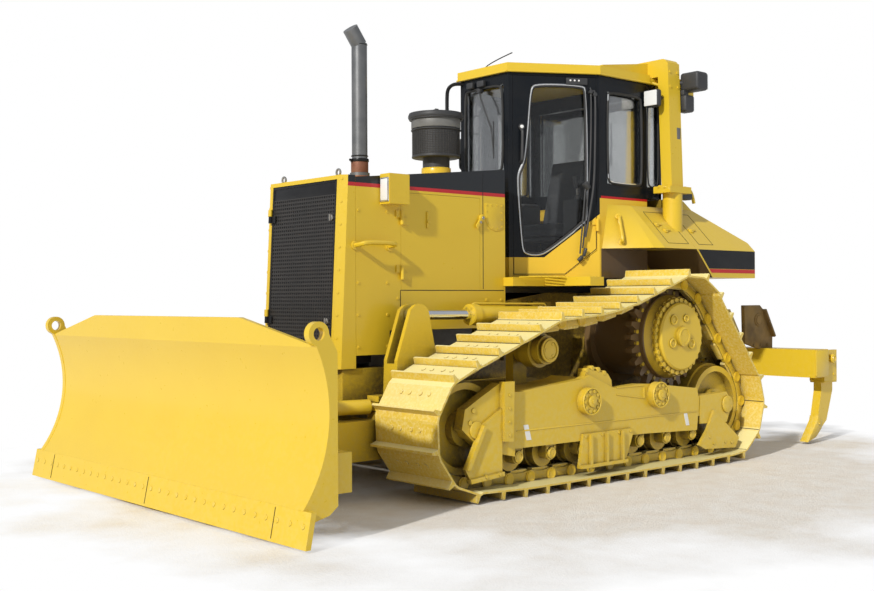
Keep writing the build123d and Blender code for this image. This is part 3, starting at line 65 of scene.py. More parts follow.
print("machine size", [round(b - a, 3) for a, b in zip(cad_low, cad_high)])

# %% [markdown]
# The camera stands to the left of the blade at chest height, over eight metres away, and its long lens keeps
# the blade from growing too large. Its place is written as a point and three turns.

# %% Camera
FOCAL, WIDE, HIGH = 1148.17, 874, 591
MIDDLE_X, MIDDLE_Y = 11.716, 296.83
YAW, PITCH, ROLL = radians(228.974), radians(0.169), radians(-0.281)
EYE = Vector((5.9925, 6.045, 1.1899))
look = Vector((cos(YAW) * cos(PITCH), sin(YAW) * cos(PITCH), sin(PITCH)))
right = look.cross(Vector((0, 0, 1))).normalized()
upright = right.cross(look)
right, upright = right * cos(ROLL) + upright * sin(ROLL), upright * cos(ROLL) - right * sin(ROLL)
turn = Matrix((right, upright, -look)).transposed().to_4x4()
bpy.ops.object.camera_add()
camera = bpy.context.object
camera.matrix_world = Matrix.Translation(EYE) @ turn
camera.data.sensor_width = 36
camera.data.lens = FOCAL / WIDE * 36
camera.data.shift_x = MIDDLE_X / WIDE
camera.data.shift_y = (MIDDLE_Y - HIGH / 2) / WIDE
camera.data.clip_end = 400
bpy.context.scene.camera = camera
print("lens", round(camera.data.lens, 1), "mm")

# %% [markdown]
# Materials are built from a few node helpers. Each takes a material and returns a socket, so a finish reads
# as a short list of what it is made of: a base, some noise for wear, a bump for its grain.

# %% Node helpers
def new_material(name):
    mat = bpy.data.materials.new(name)
    mat.use_nodes = True
    shader = mat.node_tree.nodes["Principled BSDF"]
    place = mat.node_tree.nodes.new("ShaderNodeTexCoord").outputs["Object"]
    return mat, shader, place


def node(mat, kind, links=None, **values):
    made = mat.node_tree.nodes.new(kind)
    for key, value in values.items():
        setattr(made, key, value)
    for key, value in (links or {}).items():
        if hasattr(value, "is_linked"):
            mat.node_tree.links.new(value, made.inputs[key])
        else:
            made.inputs[key].default_value = value
    return made


def noise(mat, place, scale, detail=4.0, rough=0.55):
    return node(mat, "ShaderNodeTexNoise", {"Vector": place, "Scale": scale, "Detail": detail,
        "Roughness": rough}).outputs["Fac"]


def span(mat, value, low, high, to_low=0.0, to_high=1.0):
    return node(mat, "ShaderNodeMapRange", {"Value": value, "From Min": low, "From Max": high,
        "To Min": to_low, "To Max": to_high}).outputs["Result"]


def blend(mat, share, first, second):
    made = node(mat, "ShaderNodeMix", data_type="RGBA")
    for key, value in ((0, share), (6, first), (7, second)):
        if hasattr(value, "is_linked"):
            mat.node_tree.links.new(value, made.inputs[key])
        elif key == 0:
            made.inputs[key].default_value = value
        else:
            made.inputs[key].default_value = (*value, 1)
    return made.outputs[2]


def calc(mat, operation, first, second=0.0):
    return node(mat, "ShaderNodeMath", {0: first, 1: second}, operation=operation).outputs[0]


def times(mat, first, second):
    return calc(mat, "MULTIPLY", first, second)


def faces_up(mat):
    return axes(mat, node(mat, "ShaderNodeNewGeometry").outputs["Normal"])[2]


def open_air(mat, reach):
    return node(mat, "ShaderNodeAmbientOcclusion", {"Distance": reach}, samples=6).outputs["AO"]


def seen_directly(mat):
    rays = node(mat, "ShaderNodeLightPath").outputs
    return calc(mat, "MAXIMUM", rays["Is Camera Ray"], rays["Is Transmission Ray"])


def bump(mat, shader, height, strength=0.2, distance=0.001):
    made = node(mat, "ShaderNodeBump", {"Height": height, "Strength": strength, "Distance": distance})
    mat.node_tree.links.new(made.outputs["Normal"], shader.inputs["Normal"])


def feed(mat, socket, shader, name):
    mat.node_tree.links.new(socket, shader.inputs[name])


def axes(mat, place):
    return node(mat, "ShaderNodeSeparateXYZ", {0: place}).outputs


def surface(mat, share, first, second, output="Material Output"):
    """Mixes two shaders and sends the mix to the output."""
    mixed = node(mat, "ShaderNodeMixShader", {0: share, 1: first, 2: second}).outputs[0]
    feed(mat, mixed, mat.node_tree.nodes[output], "Surface")


def edge_wear(mat, size=0.004):
    """A mask that is 1 along sharp edges: where the bevelled normal leaves the true one."""
    soft = node(mat, "ShaderNodeBevel", {"Radius": size}, samples=4).outputs["Normal"]
    true = node(mat, "ShaderNodeNewGeometry").outputs["Normal"]
    dot = node(mat, "ShaderNodeVectorMath", {0: soft, 1: true}, operation="DOT_PRODUCT").outputs["Value"]
    return span(mat, dot, 0.98, 0.80)


# %% [markdown]
# Machine yellow is a thick paint, a touch paler where dust has settled on upward faces and near the ground.
# Its gloss is broken by faint orange peel, and where a piece asks for it, a dark brown painted shade fills its
# deep corners.

# %% Yellow paint
YELLOW, YELLOW_DUSTY, YELLOW_DEEP = (0.72, 0.495, 0.026), (0.70, 0.55, 0.17), (0.64, 0.405, 0.014)
# The dark brown of painted shade, laid in deep corners where shade falls.
PAINTED_SHADE_BROWN = (0.045, 0.026, 0.014)


def yellow_paint(name, dust=0.25, gloss=0.32, shade_amount=0.0, reach=0.3):
    """Machine yellow with settled dust and, where asked for, painted shade in its deep corners."""
    mat, shader, place = new_material(name)
    x, y, z = axes(mat, place)
    clouds = noise(mat, place, 2.3)
    fine = noise(mat, place, 38, 6)
    settled = times(mat, span(mat, faces_up(mat), 0.2, 1.0), span(mat, clouds, 0.35, 0.7))
    low_down = times(mat, span(mat, z, 0.9, 0.0), span(mat, fine, 0.42, 0.62))
    dusty = times(mat, calc(mat, "MAXIMUM", settled, low_down), dust)
    base = blend(mat, span(mat, clouds, 0.35, 0.75, 0.0, 0.25), YELLOW, YELLOW_DEEP)
    base = blend(mat, dusty, base, YELLOW_DUSTY)
    # Painted shade: ambient occlusion finds the deep corners and a patchy dark brown is laid there.
    if shade_amount:
        dark = times(mat, span(mat, open_air(mat, reach), 0.72, 0.22), span(mat, fine, 0.25, 0.55, 0.7, 1.0))
        base = blend(mat, times(mat, dark, shade_amount), base, PAINTED_SHADE_BROWN)
    feed(mat, base, shader, "Base Color")
    feed(mat, calc(mat, "ADD", span(mat, fine, 0.3, 0.7, gloss - 0.05, gloss + 0.08), times(mat, dusty, 0.5)),
        shader, "Roughness")
    shader.inputs["Coat Weight"].default_value = 0.25
    shader.inputs["Coat Roughness"].default_value = 0.12
    bump(mat, shader, noise(mat, place, 420, 2), 0.06, 0.0006)
    return mat


PAINT = yellow_paint("machine_yellow")
# These three paints darken their deep corners with painted shade, the tank's also under the fender.
PAINT_LOW = yellow_paint("undercarriage_yellow", dust=0.6, gloss=0.42, shade_amount=0.85, reach=0.3)
PAINT_DEEP = yellow_paint("frame_yellow", dust=0.3, gloss=0.42, shade_amount=0.95, reach=0.9)
PAINT_TANK = yellow_paint("tank_yellow", dust=0.25, gloss=0.34, shade_amount=0.85, reach=0.5)
print("paints", PAINT.name, PAINT_LOW.name)


# %% [markdown]
# Walking has rubbed the paint of shoes and chain: dust lies on upward faces, the edges of the grousers are bare
# and bright, and a dark brown painted shade fills the corners. Ambient occlusion finds the corners, the bevel
# mask the edges.

# %% Track paint
SHOE, SHOE_DEEP, SHOE_DUST = (0.74, 0.53, 0.06), (0.68, 0.46, 0.04), (0.86, 0.77, 0.36)
# The second of these is the brown of painted shade in the track's corners.
CHALK, RECESS_SHADE, BARE = (0.86, 0.79, 0.46), (0.09, 0.05, 0.022), (0.90, 0.80, 0.50)


def track_paint(name):
    mat, shader, place = new_material(name)
    clouds, fine = noise(mat, place, 3.1), noise(mat, place, 60, 8, 0.7)
    # Painted shade: a dark brown laid where ambient occlusion finds corners.
    recess_shade = times(mat, span(mat, open_air(mat, 0.16), 0.62, 0.2), span(mat, fine, 0.3, 0.6, 0.5, 1.0))
    base = blend(mat, span(mat, clouds, 0.35, 0.7), SHOE, SHOE_DEEP)
    base = blend(mat, span(mat, faces_up(mat), 0.25, 0.8, 0.0, 0.9), base, SHOE_DUST)
    base = blend(mat, times(mat, span(mat, fine, 0.45, 0.65), 0.45), base, CHALK)
    base = blend(mat, recess_shade, base, RECESS_SHADE)
    base = blend(mat, times(mat, edge_wear(mat, 0.005), 0.5), base, BARE)
    feed(mat, base, shader, "Base Color")
    feed(mat, span(mat, fine, 0.3, 0.7, 0.38, 0.62), shader, "Roughness")
    bump(mat, shader, fine, 0.25, 0.0015)
    return mat


TRACK = track_paint("track_paint")


# %% [markdown]
# The other finishes share one recipe: a base, a second shade laid over it by noise, a roughness range and a
# grain. Chrome rods, black frames, dark plastic, rubber seals and bare steel all come from it.

# %% Dark and bare finishes
def plain_finish(name, base, second, rough, grain_scale, grain, metallic=0.0, specular=0.5, worn=0.0):
    mat, shader, place = new_material(name)
    cloud = noise(mat, place, 7.0, 5)
    grains = noise(mat, place, grain_scale, 3)
    colour = blend(mat, span(mat, cloud, 0.35, 0.7), base, second)
    if worn:
        colour = blend(mat, times(mat, edge_wear(mat), worn), colour, tuple(min(1, 3 * c + 0.08) for c in base))
    feed(mat, colour, shader, "Base Color")
    feed(mat, span(mat, grains, 0.3, 0.7, rough[0], rough[1]), shader, "Roughness")
    shader.inputs["Metallic"].default_value = metallic
    shader.inputs["Specular IOR Level"].default_value = specular
    bump(mat, shader, grains, grain, 0.0008)
    return mat


BLACK = plain_finish("black_paint", (0.010, 0.010, 0.011), (0.017, 0.017, 0.018), (0.26, 0.40), 300, 0.05,
    specular=0.22, worn=0.3)
PLASTIC = plain_finish("dark_plastic", (0.03, 0.031, 0.033), (0.04, 0.04, 0.042), (0.45, 0.6), 900, 0.25)
RUBBER = plain_finish("rubber", (0.014, 0.014, 0.014), (0.03, 0.029, 0.027), (0.55, 0.75), 500, 0.2)
CHROME = plain_finish("chrome", (0.78, 0.79, 0.80), (0.70, 0.71, 0.73), (0.06, 0.14), 200, 0.02, 1.0)
STEEL = plain_finish("bare_steel", (0.42, 0.41, 0.39), (0.30, 0.28, 0.25), (0.28, 0.5), 240, 0.2, 0.9)
EXHAUST = plain_finish("exhaust_steel", (0.16, 0.165, 0.17), (0.24, 0.24, 0.24), (0.3, 0.45), 180, 0.12, 0.7)
RUST = plain_finish("heated_steel", (0.20, 0.075, 0.04), (0.30, 0.15, 0.09), (0.5, 0.7), 260, 0.2, 0.3)
LAMP_RIM = plain_finish("lamp_rim", (0.55, 0.56, 0.57), (0.62, 0.63, 0.64), (0.15, 0.25), 200, 0.03, 0.8)
FABRIC = plain_finish("seat_fabric", (0.035, 0.037, 0.042), (0.055, 0.057, 0.062), (0.8, 0.95), 700, 0.5)
RED = plain_finish("red_line", (0.55, 0.012, 0.012), (0.48, 0.01, 0.01), (0.3, 0.4), 300, 0.04)
WHITE = plain_finish("white_film", (0.82, 0.82, 0.80), (0.78, 0.78, 0.76), (0.3, 0.4), 300, 0.03)
GREY = plain_finish("grey_casting", (0.20, 0.20, 0.19), (0.13, 0.125, 0.12), (0.45, 0.65), 120, 0.4, 0.3)


# %% [markdown]
# A thin pane needs no refraction to look right: it is mostly a clear film that darkens what lies behind it,
# with a mirror sheen that grows at a glancing angle.

# %% Glass
def pane(name, tint, mirror):
    mat, shader, place = new_material(name)
    smear = noise(mat, place, 4.0, 6)
    clear = node(mat, "ShaderNodeBsdfTransparent", {"Color": (*tint, 1)}).outputs[0]
    shine = node(mat, "ShaderNodeBsdfGlossy", {"Color": (1, 1, 1, 1),
        "Roughness": span(mat, smear, 0.4, 0.7, 0.0, 0.02)}).outputs[0]
    facing = node(mat, "ShaderNodeFresnel", {"IOR": 1.5}).outputs[0]
    surface(mat, times(mat, facing, mirror), clear, shine)
    return mat


GLASS = pane("cab_glass", (0.93, 0.935, 0.93), 0.7)

# %% [markdown]
# The ground is pale crushed stone that fades into plain white with the distance from the machine, which keeps
# its shadow and stands on something, yet nothing behind it asks for attention.

# %% Ground, sky and lamps
def clear():
    if bpy.context.mode != "OBJECT":
        bpy.ops.object.mode_set(mode="OBJECT")
    bpy.ops.object.select_all(action="DESELECT")


clear()
bpy.ops.mesh.primitive_plane_add(size=300)
ground = bpy.context.object
ground.name = "ground"
stone, shader, place = new_material("pale_ground")
distance = node(stone, "ShaderNodeVectorMath", {0: place}, operation="LENGTH").outputs["Value"]
patchy = calc(stone, "ADD", distance, span(stone, noise(stone, place, 0.9, 6), 0.3, 0.7, -0.9, 0.9))
fade = span(stone, patchy, 2.6, 4.0)
grit = noise(stone, place, 45, 8, 0.7)
sand = blend(stone, span(stone, noise(stone, place, 6, 6), 0.35, 0.7), (0.86, 0.83, 0.78), (0.80, 0.74, 0.66))
sand = blend(stone, span(stone, grit, 0.55, 0.75, 0.0, 0.5), sand, (0.70, 0.64, 0.56))
feed(stone, blend(stone, fade, sand, (0.9, 0.9, 0.9)), shader, "Base Color")
shader.inputs["Roughness"].default_value = 0.95
bump(stone, shader, grit, 0.6, 0.012)
white = node(stone, "ShaderNodeEmission", {"Color": (1, 1, 1, 1), "Strength": 1.0}).outputs[0]
surface(stone, times(stone, fade, seen_directly(stone)), shader.outputs[0], white)
ground.data.materials.append(stone)
ground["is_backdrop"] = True

world = bpy.data.worlds.new("studio")
bpy.context.scene.world = world
world.use_nodes = True
bright = world.node_tree.nodes["Background"]
bright.inputs["Color"].default_value = (1, 1, 1, 1)
bright.inputs["Strength"].default_value = 1.0
soft_sky = node(world, "ShaderNodeBackground", {"Color": (0.92, 0.95, 1.0, 1), "Strength": 0.50}).outputs[0]
surface(world, seen_directly(world), soft_sky, bright.outputs[0], "World Output")

bpy.ops.object.light_add(type="SUN")
sun = bpy.context.object
sun.name = "key_sun"
sun.data.energy, sun.data.angle = 3.0, radians(2.0)
sun.data.color = (1.0, 0.975, 0.93)
sun_from = Vector((0.84, 0.25, 0.50))
sun.rotation_euler = sun_from.to_track_quat("Z", "Y").to_euler()
bpy.context.scene.view_settings.view_transform = "Standard"
print("lamps", sun.name, "and a pale sky")

# %% [markdown]
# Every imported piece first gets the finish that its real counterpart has, from a short table of names. What
# the table leaves out is machine yellow.

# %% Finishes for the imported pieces
FINISH = {"exhaust": EXHAUST, "pre_cleaner": PLASTIC, "grille_door": BLACK, "radiator_core": BLACK,
    "cab_mount": BLACK, "left_door_glass": GLASS, "right_door_glass": GLASS, "cab_glass": GLASS,
    "left_track": TRACK, "right_track": TRACK, "idlers": PAINT_LOW, "rollers": PAINT_LOW,
    "track_frames": PAINT_LOW, "fuel_tank": PAINT_TANK, "fenders": PAINT_TANK, "ripper_mount": PAINT_TANK,
    "push_frame": PAINT_TANK, "blade_yoke": PAINT_TANK, "pivot_shafts": PAINT_DEEP, "main_frame": PAINT_DEEP,
    "engine": GREY, "seat": FABRIC, "controls": PLASTIC, "lift_rods": CHROME, "left_angle_rod": CHROME,
    "right_angle_rod": CHROME, "tilt_rod": CHROME, "ripper_rods": CHROME,}
for name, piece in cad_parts.items():
    piece.data.materials.clear()
    piece.data.materials.append(FINISH.get(name, PAINT))
print("dressed", len(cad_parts), "packed pieces")

# %% [markdown]
# New pieces are placed by millimetres from three lines that never move: the sprocket axle for X, the middle
# of the machine for Y and the ground for Z.

# %% Places and shaping tools
AXLE = sum(corner.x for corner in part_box("sprockets")) / 2
GROUND = cad_low.z


def at(x, y, z):
    return Vector((AXLE + x / 1000, y / 1000, GROUND + z / 1000))


def mode(name):
    bpy.ops.object.mode_set(mode=name)


def reshape(piece, kind, **values):
    """Adds a modifier with the given values and applies it."""
    made = piece.modifiers.new("change", kind)
    for key, value in values.items():
        setattr(made, key, value)
    bpy.ops.object.modifier_apply(modifier="change")


def shape_edges(width, segments=2, angle=30):
    """Rounds the sharp edges of the active piece."""
    reshape(bpy.context.object, "BEVEL", width=width / 1000, segments=segments, angle_limit=radians(angle))


def cube(low, high):
    """A plain box between two corners in metres."""
    clear()
    bpy.ops.mesh.primitive_cube_add(size=1, location=(low + high) / 2)
    bpy.context.object.scale = high - low
    bpy.ops.object.transform_apply()
    return bpy.context.object


def block(low, high, rounding=4, segments=2):
    """A plate or block between two corners, with its edges rounded."""
    cube(at(*low), at(*high))
    if rounding:
        shape_edges(rounding, segments)
    return bpy.context.object


def rod(start, end, radius, rounding=2, sides=24, tip=None):
    """A round bar, boss or cap from one point to another."""
    clear()
    start, end = at(*start), at(*end)
    way = end - start
    bpy.ops.mesh.primitive_cone_add(vertices=sides, radius1=radius / 1000, radius2=(tip or radius) / 1000,
        depth=way.length, location=(start + end) / 2)
    bpy.context.object.rotation_euler = way.to_track_quat("Z", "Y").to_euler()
    bpy.ops.object.transform_apply()
    if rounding:
        shape_edges(rounding, 2, 40)
    return bpy.context.object


def peg(place, length, radius, rounding=2, sides=24):
    """A round boss that stands out to the machine's left."""
    x, y, z = place
    return rod(place, (x, y + length, z), radius, rounding, sides)


def ring_bar(centre, axis, radius, thick, turns=32):
    """A torus: a seal, a wire ring or a rounded rim."""
    clear()
    bpy.ops.mesh.primitive_torus_add(location=at(*centre), major_radius=radius / 1000,
        minor_radius=thick / 1000, major_segments=turns, minor_segments=8)
    bpy.context.object.rotation_euler = Vector(axis).to_track_quat("Z", "Y").to_euler()
    bpy.ops.object.transform_apply()
    return bpy.context.object


def bent_bar(points, radius, smooth=3, closed=False):
    """A bent tube through points, for handrails, pipes and seals."""
    clear()
    bpy.ops.curve.primitive_nurbs_path_add()
    bar = bpy.context.object
    bar.data.splines.clear()
    line = bar.data.splines.new("NURBS")
    line.points.add(len(points) - 1)
    for spot, point in zip(line.points, points):
        spot.co = (*at(*point), 1)
    line.order_u = smooth
    line.use_endpoint_u = not closed
    line.use_cyclic_u = closed
    line.resolution_u = 5
    bar.location = (0, 0, 0)
    bar.data.bevel_depth, bar.data.bevel_resolution, bar.data.use_fill_caps = radius / 1000, 2, True
    bpy.ops.object.convert(target="MESH")
    return bpy.context.object


def linked(piece):
    """Puts a new piece in the scene, picked and active."""
    bpy.context.collection.objects.link(piece)
    bpy.context.view_layer.objects.active = piece
    piece.select_set(True)
    return piece


def from_faces(spots, faces):
    clear()
    mesh = bpy.data.meshes.new("plain")
    mesh.from_pydata(spots, [], faces)
    return linked(bpy.data.objects.new("plain", mesh))


def outward():
    """Turns the active piece's faces outward."""
    mode("EDIT")
    bpy.ops.mesh.select_all(action="SELECT")
    bpy.ops.mesh.normals_make_consistent(inside=False)
    mode("OBJECT")


def plate(points, axis, low, high, rounding=2):
    """A flat plate cut to an outline; the outline's points lie square to the axis."""
    spots = {"x": lambda a, b, k: (k, a, b), "y": lambda a, b, k: (a, k, b), "z": lambda a, b,
        k: (a, b, k)}[axis]
    piece = from_faces([at(*spots(a, b, low)) for a, b in points], [list(range(len(points)))])
    mode("EDIT")
    bpy.ops.mesh.select_all(action="SELECT")
    push = at(*spots(0, 0, high)) - at(*spots(0, 0, low))
    bpy.ops.mesh.extrude_region_move(TRANSFORM_OT_translate={"value": push})
    mode("OBJECT")
    outward()
    if rounding:
        shape_edges(rounding, 2)
    return piece


def copies(master, places):
    """Copies of one piece, each with its own mesh, put at the given matrices. The first is used up."""
    made = []
    for spot in places:
        twin = master.copy()
        twin.data = master.data.copy()
        bpy.context.collection.objects.link(twin)
        twin.matrix_world = spot
        made.append(twin)
    bpy.data.objects.remove(master)
    return made


def mirrored(piece):
    """The same piece on the other side of the machine."""
    clear()
    twin = piece.copy()
    twin.data = piece.data.copy()
    linked(twin).scale = (1, -1, 1)
    bpy.ops.object.transform_apply()
    outward()
    return twin


def settle(name, made, finish, body="tractor", smooth=38):
    """Joins the parts of a piece, puts its place in its mesh, and gives it a name, a finish and a body."""
    clear()
    for part in made:
        part.select_set(True)
    bpy.context.view_layer.objects.active = made[0]
    if len(made) > 1:
        bpy.ops.object.join()
    piece = bpy.context.object
    bpy.ops.object.transform_apply()
    bpy.ops.object.shade_smooth_by_angle(angle=radians(smooth))
    piece.name = name
    piece.data.materials.clear()
    piece.data.materials.append(finish)
    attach(piece, body)
    return piece


def settle_pair(name, made, finish, bodies=("tractor", "tractor")):
    """The left piece and its mirror image, each on its own body or both on one."""
    left = settle("left_" + name, made, finish, bodies[0])
    twin = settle("right_" + name, [mirrored(left)], finish, bodies[1])
    return left, twin


# %% [markdown]
# Bolts are what makes plates look like plates. One is made, a washer and a six-sided head drawn in at the
# top, and its copies stand wherever a list says.

# %% Bolt heads
def pick_top(piece):
    """Opens a piece for editing with its upper faces picked."""
    mode("EDIT")
    bpy.ops.mesh.select_mode(type="FACE")
    bpy.ops.mesh.select_all(action="DESELECT")
    mesh = bmesh.from_edit_mesh(piece.data)
    for face in mesh.faces:
        face.select = face.normal.z > 0.9
    bmesh.update_edit_mesh(piece.data)


def bolt(radius=12, height=9):
    clear()
    bpy.ops.mesh.primitive_cylinder_add(vertices=12, radius=radius * 1.35 / 1000, depth=2.4 / 1000,
        location=(0, 0, 0.0012))
    washer = bpy.context.object
    bpy.ops.mesh.primitive_cylinder_add(vertices=6, radius=radius / 1000, depth=height / 1000,
        location=(0, 0, (2.4 + height / 2) / 1000))
    head = bpy.context.object
    pick_top(head)
    bpy.ops.mesh.inset(thickness=radius * 0.12 / 1000, depth=radius * 0.1 / 1000)
    mode("OBJECT")
    washer.select_set(True)
    head.select_set(True)
    bpy.ops.object.join()
    return bpy.context.object


AHEAD, BACK, LEFT, RIGHT = (1, 0, 0), (-1, 0, 0), (0, 1, 0), (0, -1, 0)
UP, DOWN = (0, 0, 1), (0, 0, -1)


def facing(place, way, spin=0.0):
    """A matrix that stands a piece's Z along a direction at a place."""
    turned = Vector(way).to_track_quat("Z", "Y").to_matrix().to_4x4()
    return Matrix.Translation(at(*place)) @ turned @ Matrix.Rotation(spin, 4, "Z")


def bolts(places, way, radius=12, height=9):
    return copies(bolt(radius, height), [facing(p, way, 0.37 * k) for k, p in enumerate(places)])


def bolt_ring(centre, radius, count, size=12, height=9, start=0.0):
    """Bolts evenly spaced on a circle that faces the machine's left."""
    x, y, z = centre
    turns = [start + 2 * pi * k / count for k in range(count)]
    return bolts([(x + radius * cos(turn), y, z + radius * sin(turn)) for turn in turns], LEFT, size, height)


print("axle at", round(AXLE, 3))

# %% [markdown]
# The black stripe with its red line runs along the hood and the cab, and black turns to yellow in a slanting
# line under the door's window. They are masks in the materials, cut by place in millimetres; the width is
# read as a distance from the middle, so both sides match. Painted shade, a dark brown under the fender and
# round the drives, is masked the same way.

# %% Stripes and paint edges
# SHADE is the dark brown of painted shade, laid where the fender casts shadow.
SHADE = (0.115, 0.072, 0.035)
INK, LINE_RED, CAB_YELLOW = (0.006, 0.008, 0.011), (0.50, 0.010, 0.016), (0.80, 0.52, 0.045)
HOOD_BACK, HOOD_FRONT, LINE_LOW, LINE_TOP = 1000, 2434, 1897, 1921
WALL_CORNER, WALL_BACK, WALL_OUT = (850, 250), 0.8665, 0.4993


def inside(mat, place, low, high):
    x, y, z = axes(mat, place)
    mask = None
    for value, a, b in zip((x, calc(mat, "ABSOLUTE", y), z), at(*low), at(*high)):
        over, under = calc(mat, "GREATER_THAN", value, a), calc(mat, "LESS_THAN", value, b)
        share = times(mat, over, under)
        mask = share if mask is None else times(mat, mask, share)
    return mask


def paint_of(mat):
    shader = mat.node_tree.nodes["Principled BSDF"]
    place = next(n for n in mat.node_tree.nodes if n.type == "TEX_COORD").outputs["Object"]
    return shader, place, shader.inputs["Base Color"].links[0].from_socket


def banded(mat, bands):
    shader, place, colour = paint_of(mat)
    for shade, low, high in bands:
        colour = blend(mat, inside(mat, place, low, high), colour, shade)
    feed(mat, colour, shader, "Base Color")
    return mat


STRIPED = banded(yellow_paint("striped_yellow"), [(INK, (HOOD_BACK, 419.4, LINE_TOP), (HOOD_FRONT, 430, 2200)),
    (LINE_RED, (HOOD_BACK, 419.4, LINE_LOW), (HOOD_FRONT, 430, LINE_TOP))])


def cab_paint():
    mat = plain_finish("cab_paint", INK, (0.010, 0.011, 0.013), (0.18, 0.3), 300, 0.04, specular=0.25, worn=0.2)
    shader, place, colour = paint_of(mat)
    x, y, z = axes(mat, place)
    away = calc(mat, "ABSOLUTE", y)
    along = calc(mat, "ADD", times(mat, x, -WALL_BACK), times(mat, away, WALL_OUT))
    corner = at(*WALL_CORNER, 0)
    start = -WALL_BACK * corner.x + WALL_OUT * corner.y
    edge = span(mat, along, start + 0.262, start + 0.681, GROUND + 1.494, GROUND + 1.808)
    side = calc(mat, "LESS_THAN", x, at(256, 0, 0).x)
    edge = calc(mat, "MAXIMUM", edge, times(mat, side, GROUND + 1.926))
    low = calc(mat, "LESS_THAN", z, edge)
    feed(mat, blend(mat, low, colour, CAB_YELLOW), shader, "Base Color")
    # The second band is painted shade on the cab's lower wall under the fender.
    return banded(mat, [(LINE_RED, (-480, 560, 1926), (243, 640, 1944)),
        (SHADE, (-480, 560, 1300), (243, 600, 1561))])


CAB = cab_paint()
# A dark brown for the ripper's lift towers: painted shade, as they stand in the tractor's shadow.
SHADOWED_YELLOW = plain_finish("shadowed_yellow", (0.27, 0.17, 0.050), (0.13, 0.085, 0.035), (0.6, 0.85), 9, 0.2)
# The drives' brown band is painted shade on the sprocket and final drive behind the track, and their deep
# corners get painted shade too.
DRIVE = banded(yellow_paint("drive_yellow", dust=0.3, gloss=0.42, shade_amount=0.85, reach=0.3),
    [((0.17, 0.105, 0.042), (-600, 200, 300), (600, 1012, 1500))])
for names, finish in ((("hood", "radiator_guard"), STRIPED), (("sprockets", "final_drives"), DRIVE),
        (("cab_shell", "left_cab_door", "right_cab_door"), CAB)):
    for name in names:
        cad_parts[name].data.materials[0] = finish
# Painted shade on the tank's front wall under the fender.
banded(PAINT_TANK, [(SHADE, (-662, 400, 1300), (-430, 929.4, 1561))])
MESH = plain_finish("grille_sheet", (0.026, 0.023, 0.021), (0.016, 0.015, 0.014), (0.45, 0.65), 200, 0.2,
    worn=0.3)
LENS = plain_finish("lamp_lens", (0.80, 0.80, 0.78), (0.72, 0.73, 0.72), (0.04, 0.10), 60, 0.10)
DARK_LENS = plain_finish("dark_lens", (0.05, 0.05, 0.055), (0.08, 0.08, 0.085), (0.05, 0.1), 60, 0.05)
print("striped", STRIPED.name, "and", CAB.name)

# %% [markdown]
# A small piece must sit on its plate whatever the plate's slope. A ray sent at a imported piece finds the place
# and the way its surface faces.

# %% Standing on a surface
def touch(name, start, way):
    hit, spot, normal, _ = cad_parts[name].ray_cast(at(*start), Vector(way))
    return (spot, normal) if hit else None


def bolts_on(name, starts, way, radius=12, height=9):
    spots = [found for found in (touch(name, start, way) for start in starts) if found]
    stands = [Matrix.Translation(spot) @ normal.to_track_quat("Z", "Y").to_matrix().to_4x4()
        for spot, normal in spots]
    return copies(bolt(radius, height), stands) if stands else []


def row(start, end, count):
    """Evenly spaced places from one point to another."""
    a, b = Vector(start), Vector(end)
    return [tuple(a + (b - a) * k / (count - 1)) for k in range(count)]

# %% [markdown]
# The pin line of the chain is walked here the way it was laid out: round the idlers, over the carrier roller,
# down the hanging run and over the sprocket. It decides where every shoe bolt and link boss goes.

# %% Where the links are
TRACK_Y, TIP, FOOT, RUN_R, PITCH_LENGTH, HUB_Z = 945, 90, 45, 320, 190, 925
WHEELS = [(2040, TIP + RUN_R + 15, -RUN_R), (1320, 870, -155), (1288, 3636, 2600), (0, HUB_Z, -380),
    (-490, TIP + RUN_R + 10, -RUN_R), (-105, TIP + 170, -170), (1659, TIP + 170, -170)]


def link_places():
    headings, runs = [], []
    for (x0, z0, r0), (x1, z1, r1) in zip(WHEELS, WHEELS[1:] + WHEELS[:1]):
        headings.append(math.atan2(z1 - z0, x1 - x0) - math.asin((r0 - r1) / math.hypot(x1 - x0, z1 - z0)))
    for k, (x, z, r) in enumerate(WHEELS):
        arrive, leave = headings[k - 1], headings[k]
        bend = (leave - arrive + pi) % (2 * pi) - pi
        runs.append((abs(bend * r), (x - r * sin(arrive), z + r * cos(arrive)), arrive, bend / abs(bend * r)))
        end = (x - r * sin(leave), z + r * cos(leave))
        x2, z2, r2 = WHEELS[(k + 1) % len(WHEELS)]
        runs.append((math.hypot(x2 - r2 * sin(leave) - end[0], z2 + r2 * cos(leave) - end[1]), end, leave, 0))
    total = sum(run[0] for run in runs)
    count = round(total / PITCH_LENGTH)

    def walk(travel):
        for length, (x, z), heading, bend in runs:
            if travel <= length:
                break
            travel -= length
        if not bend:
            return x + travel * cos(heading), z + travel * sin(heading), heading
        now = heading + bend * travel
        return x + (sin(now) - sin(heading)) / bend, z - (cos(now) - cos(heading)) / bend, now
    return [[walk((total / count * (k + part)) % total) for k in range(count)] for part in (0.5, 0.0)]


middles, pins = link_places()
print(len(middles), "links to a track")

# %% [markdown]
# Four bolts hold each shoe, their heads in the plate behind the grouser, and each joint of the chain shows a
# round boss on both sides of its rails.

# %% Shoe bolts and link bosses
heads = []
for x, z, heading in middles:
    up = (sin(heading), 0, -cos(heading))
    foot = (x + FOOT * up[0], z + FOOT * up[2])
    for y in (TRACK_Y - 125, TRACK_Y - 50, TRACK_Y + 50, TRACK_Y + 125):
        heads.append(facing((foot[0] + 38 * cos(heading), y, foot[1] + 38 * sin(heading)), up, heading))
shoe_bolts = copies(bolt(15, 9), heads)
settle_pair("shoe_bolts", shoe_bolts, TRACK)


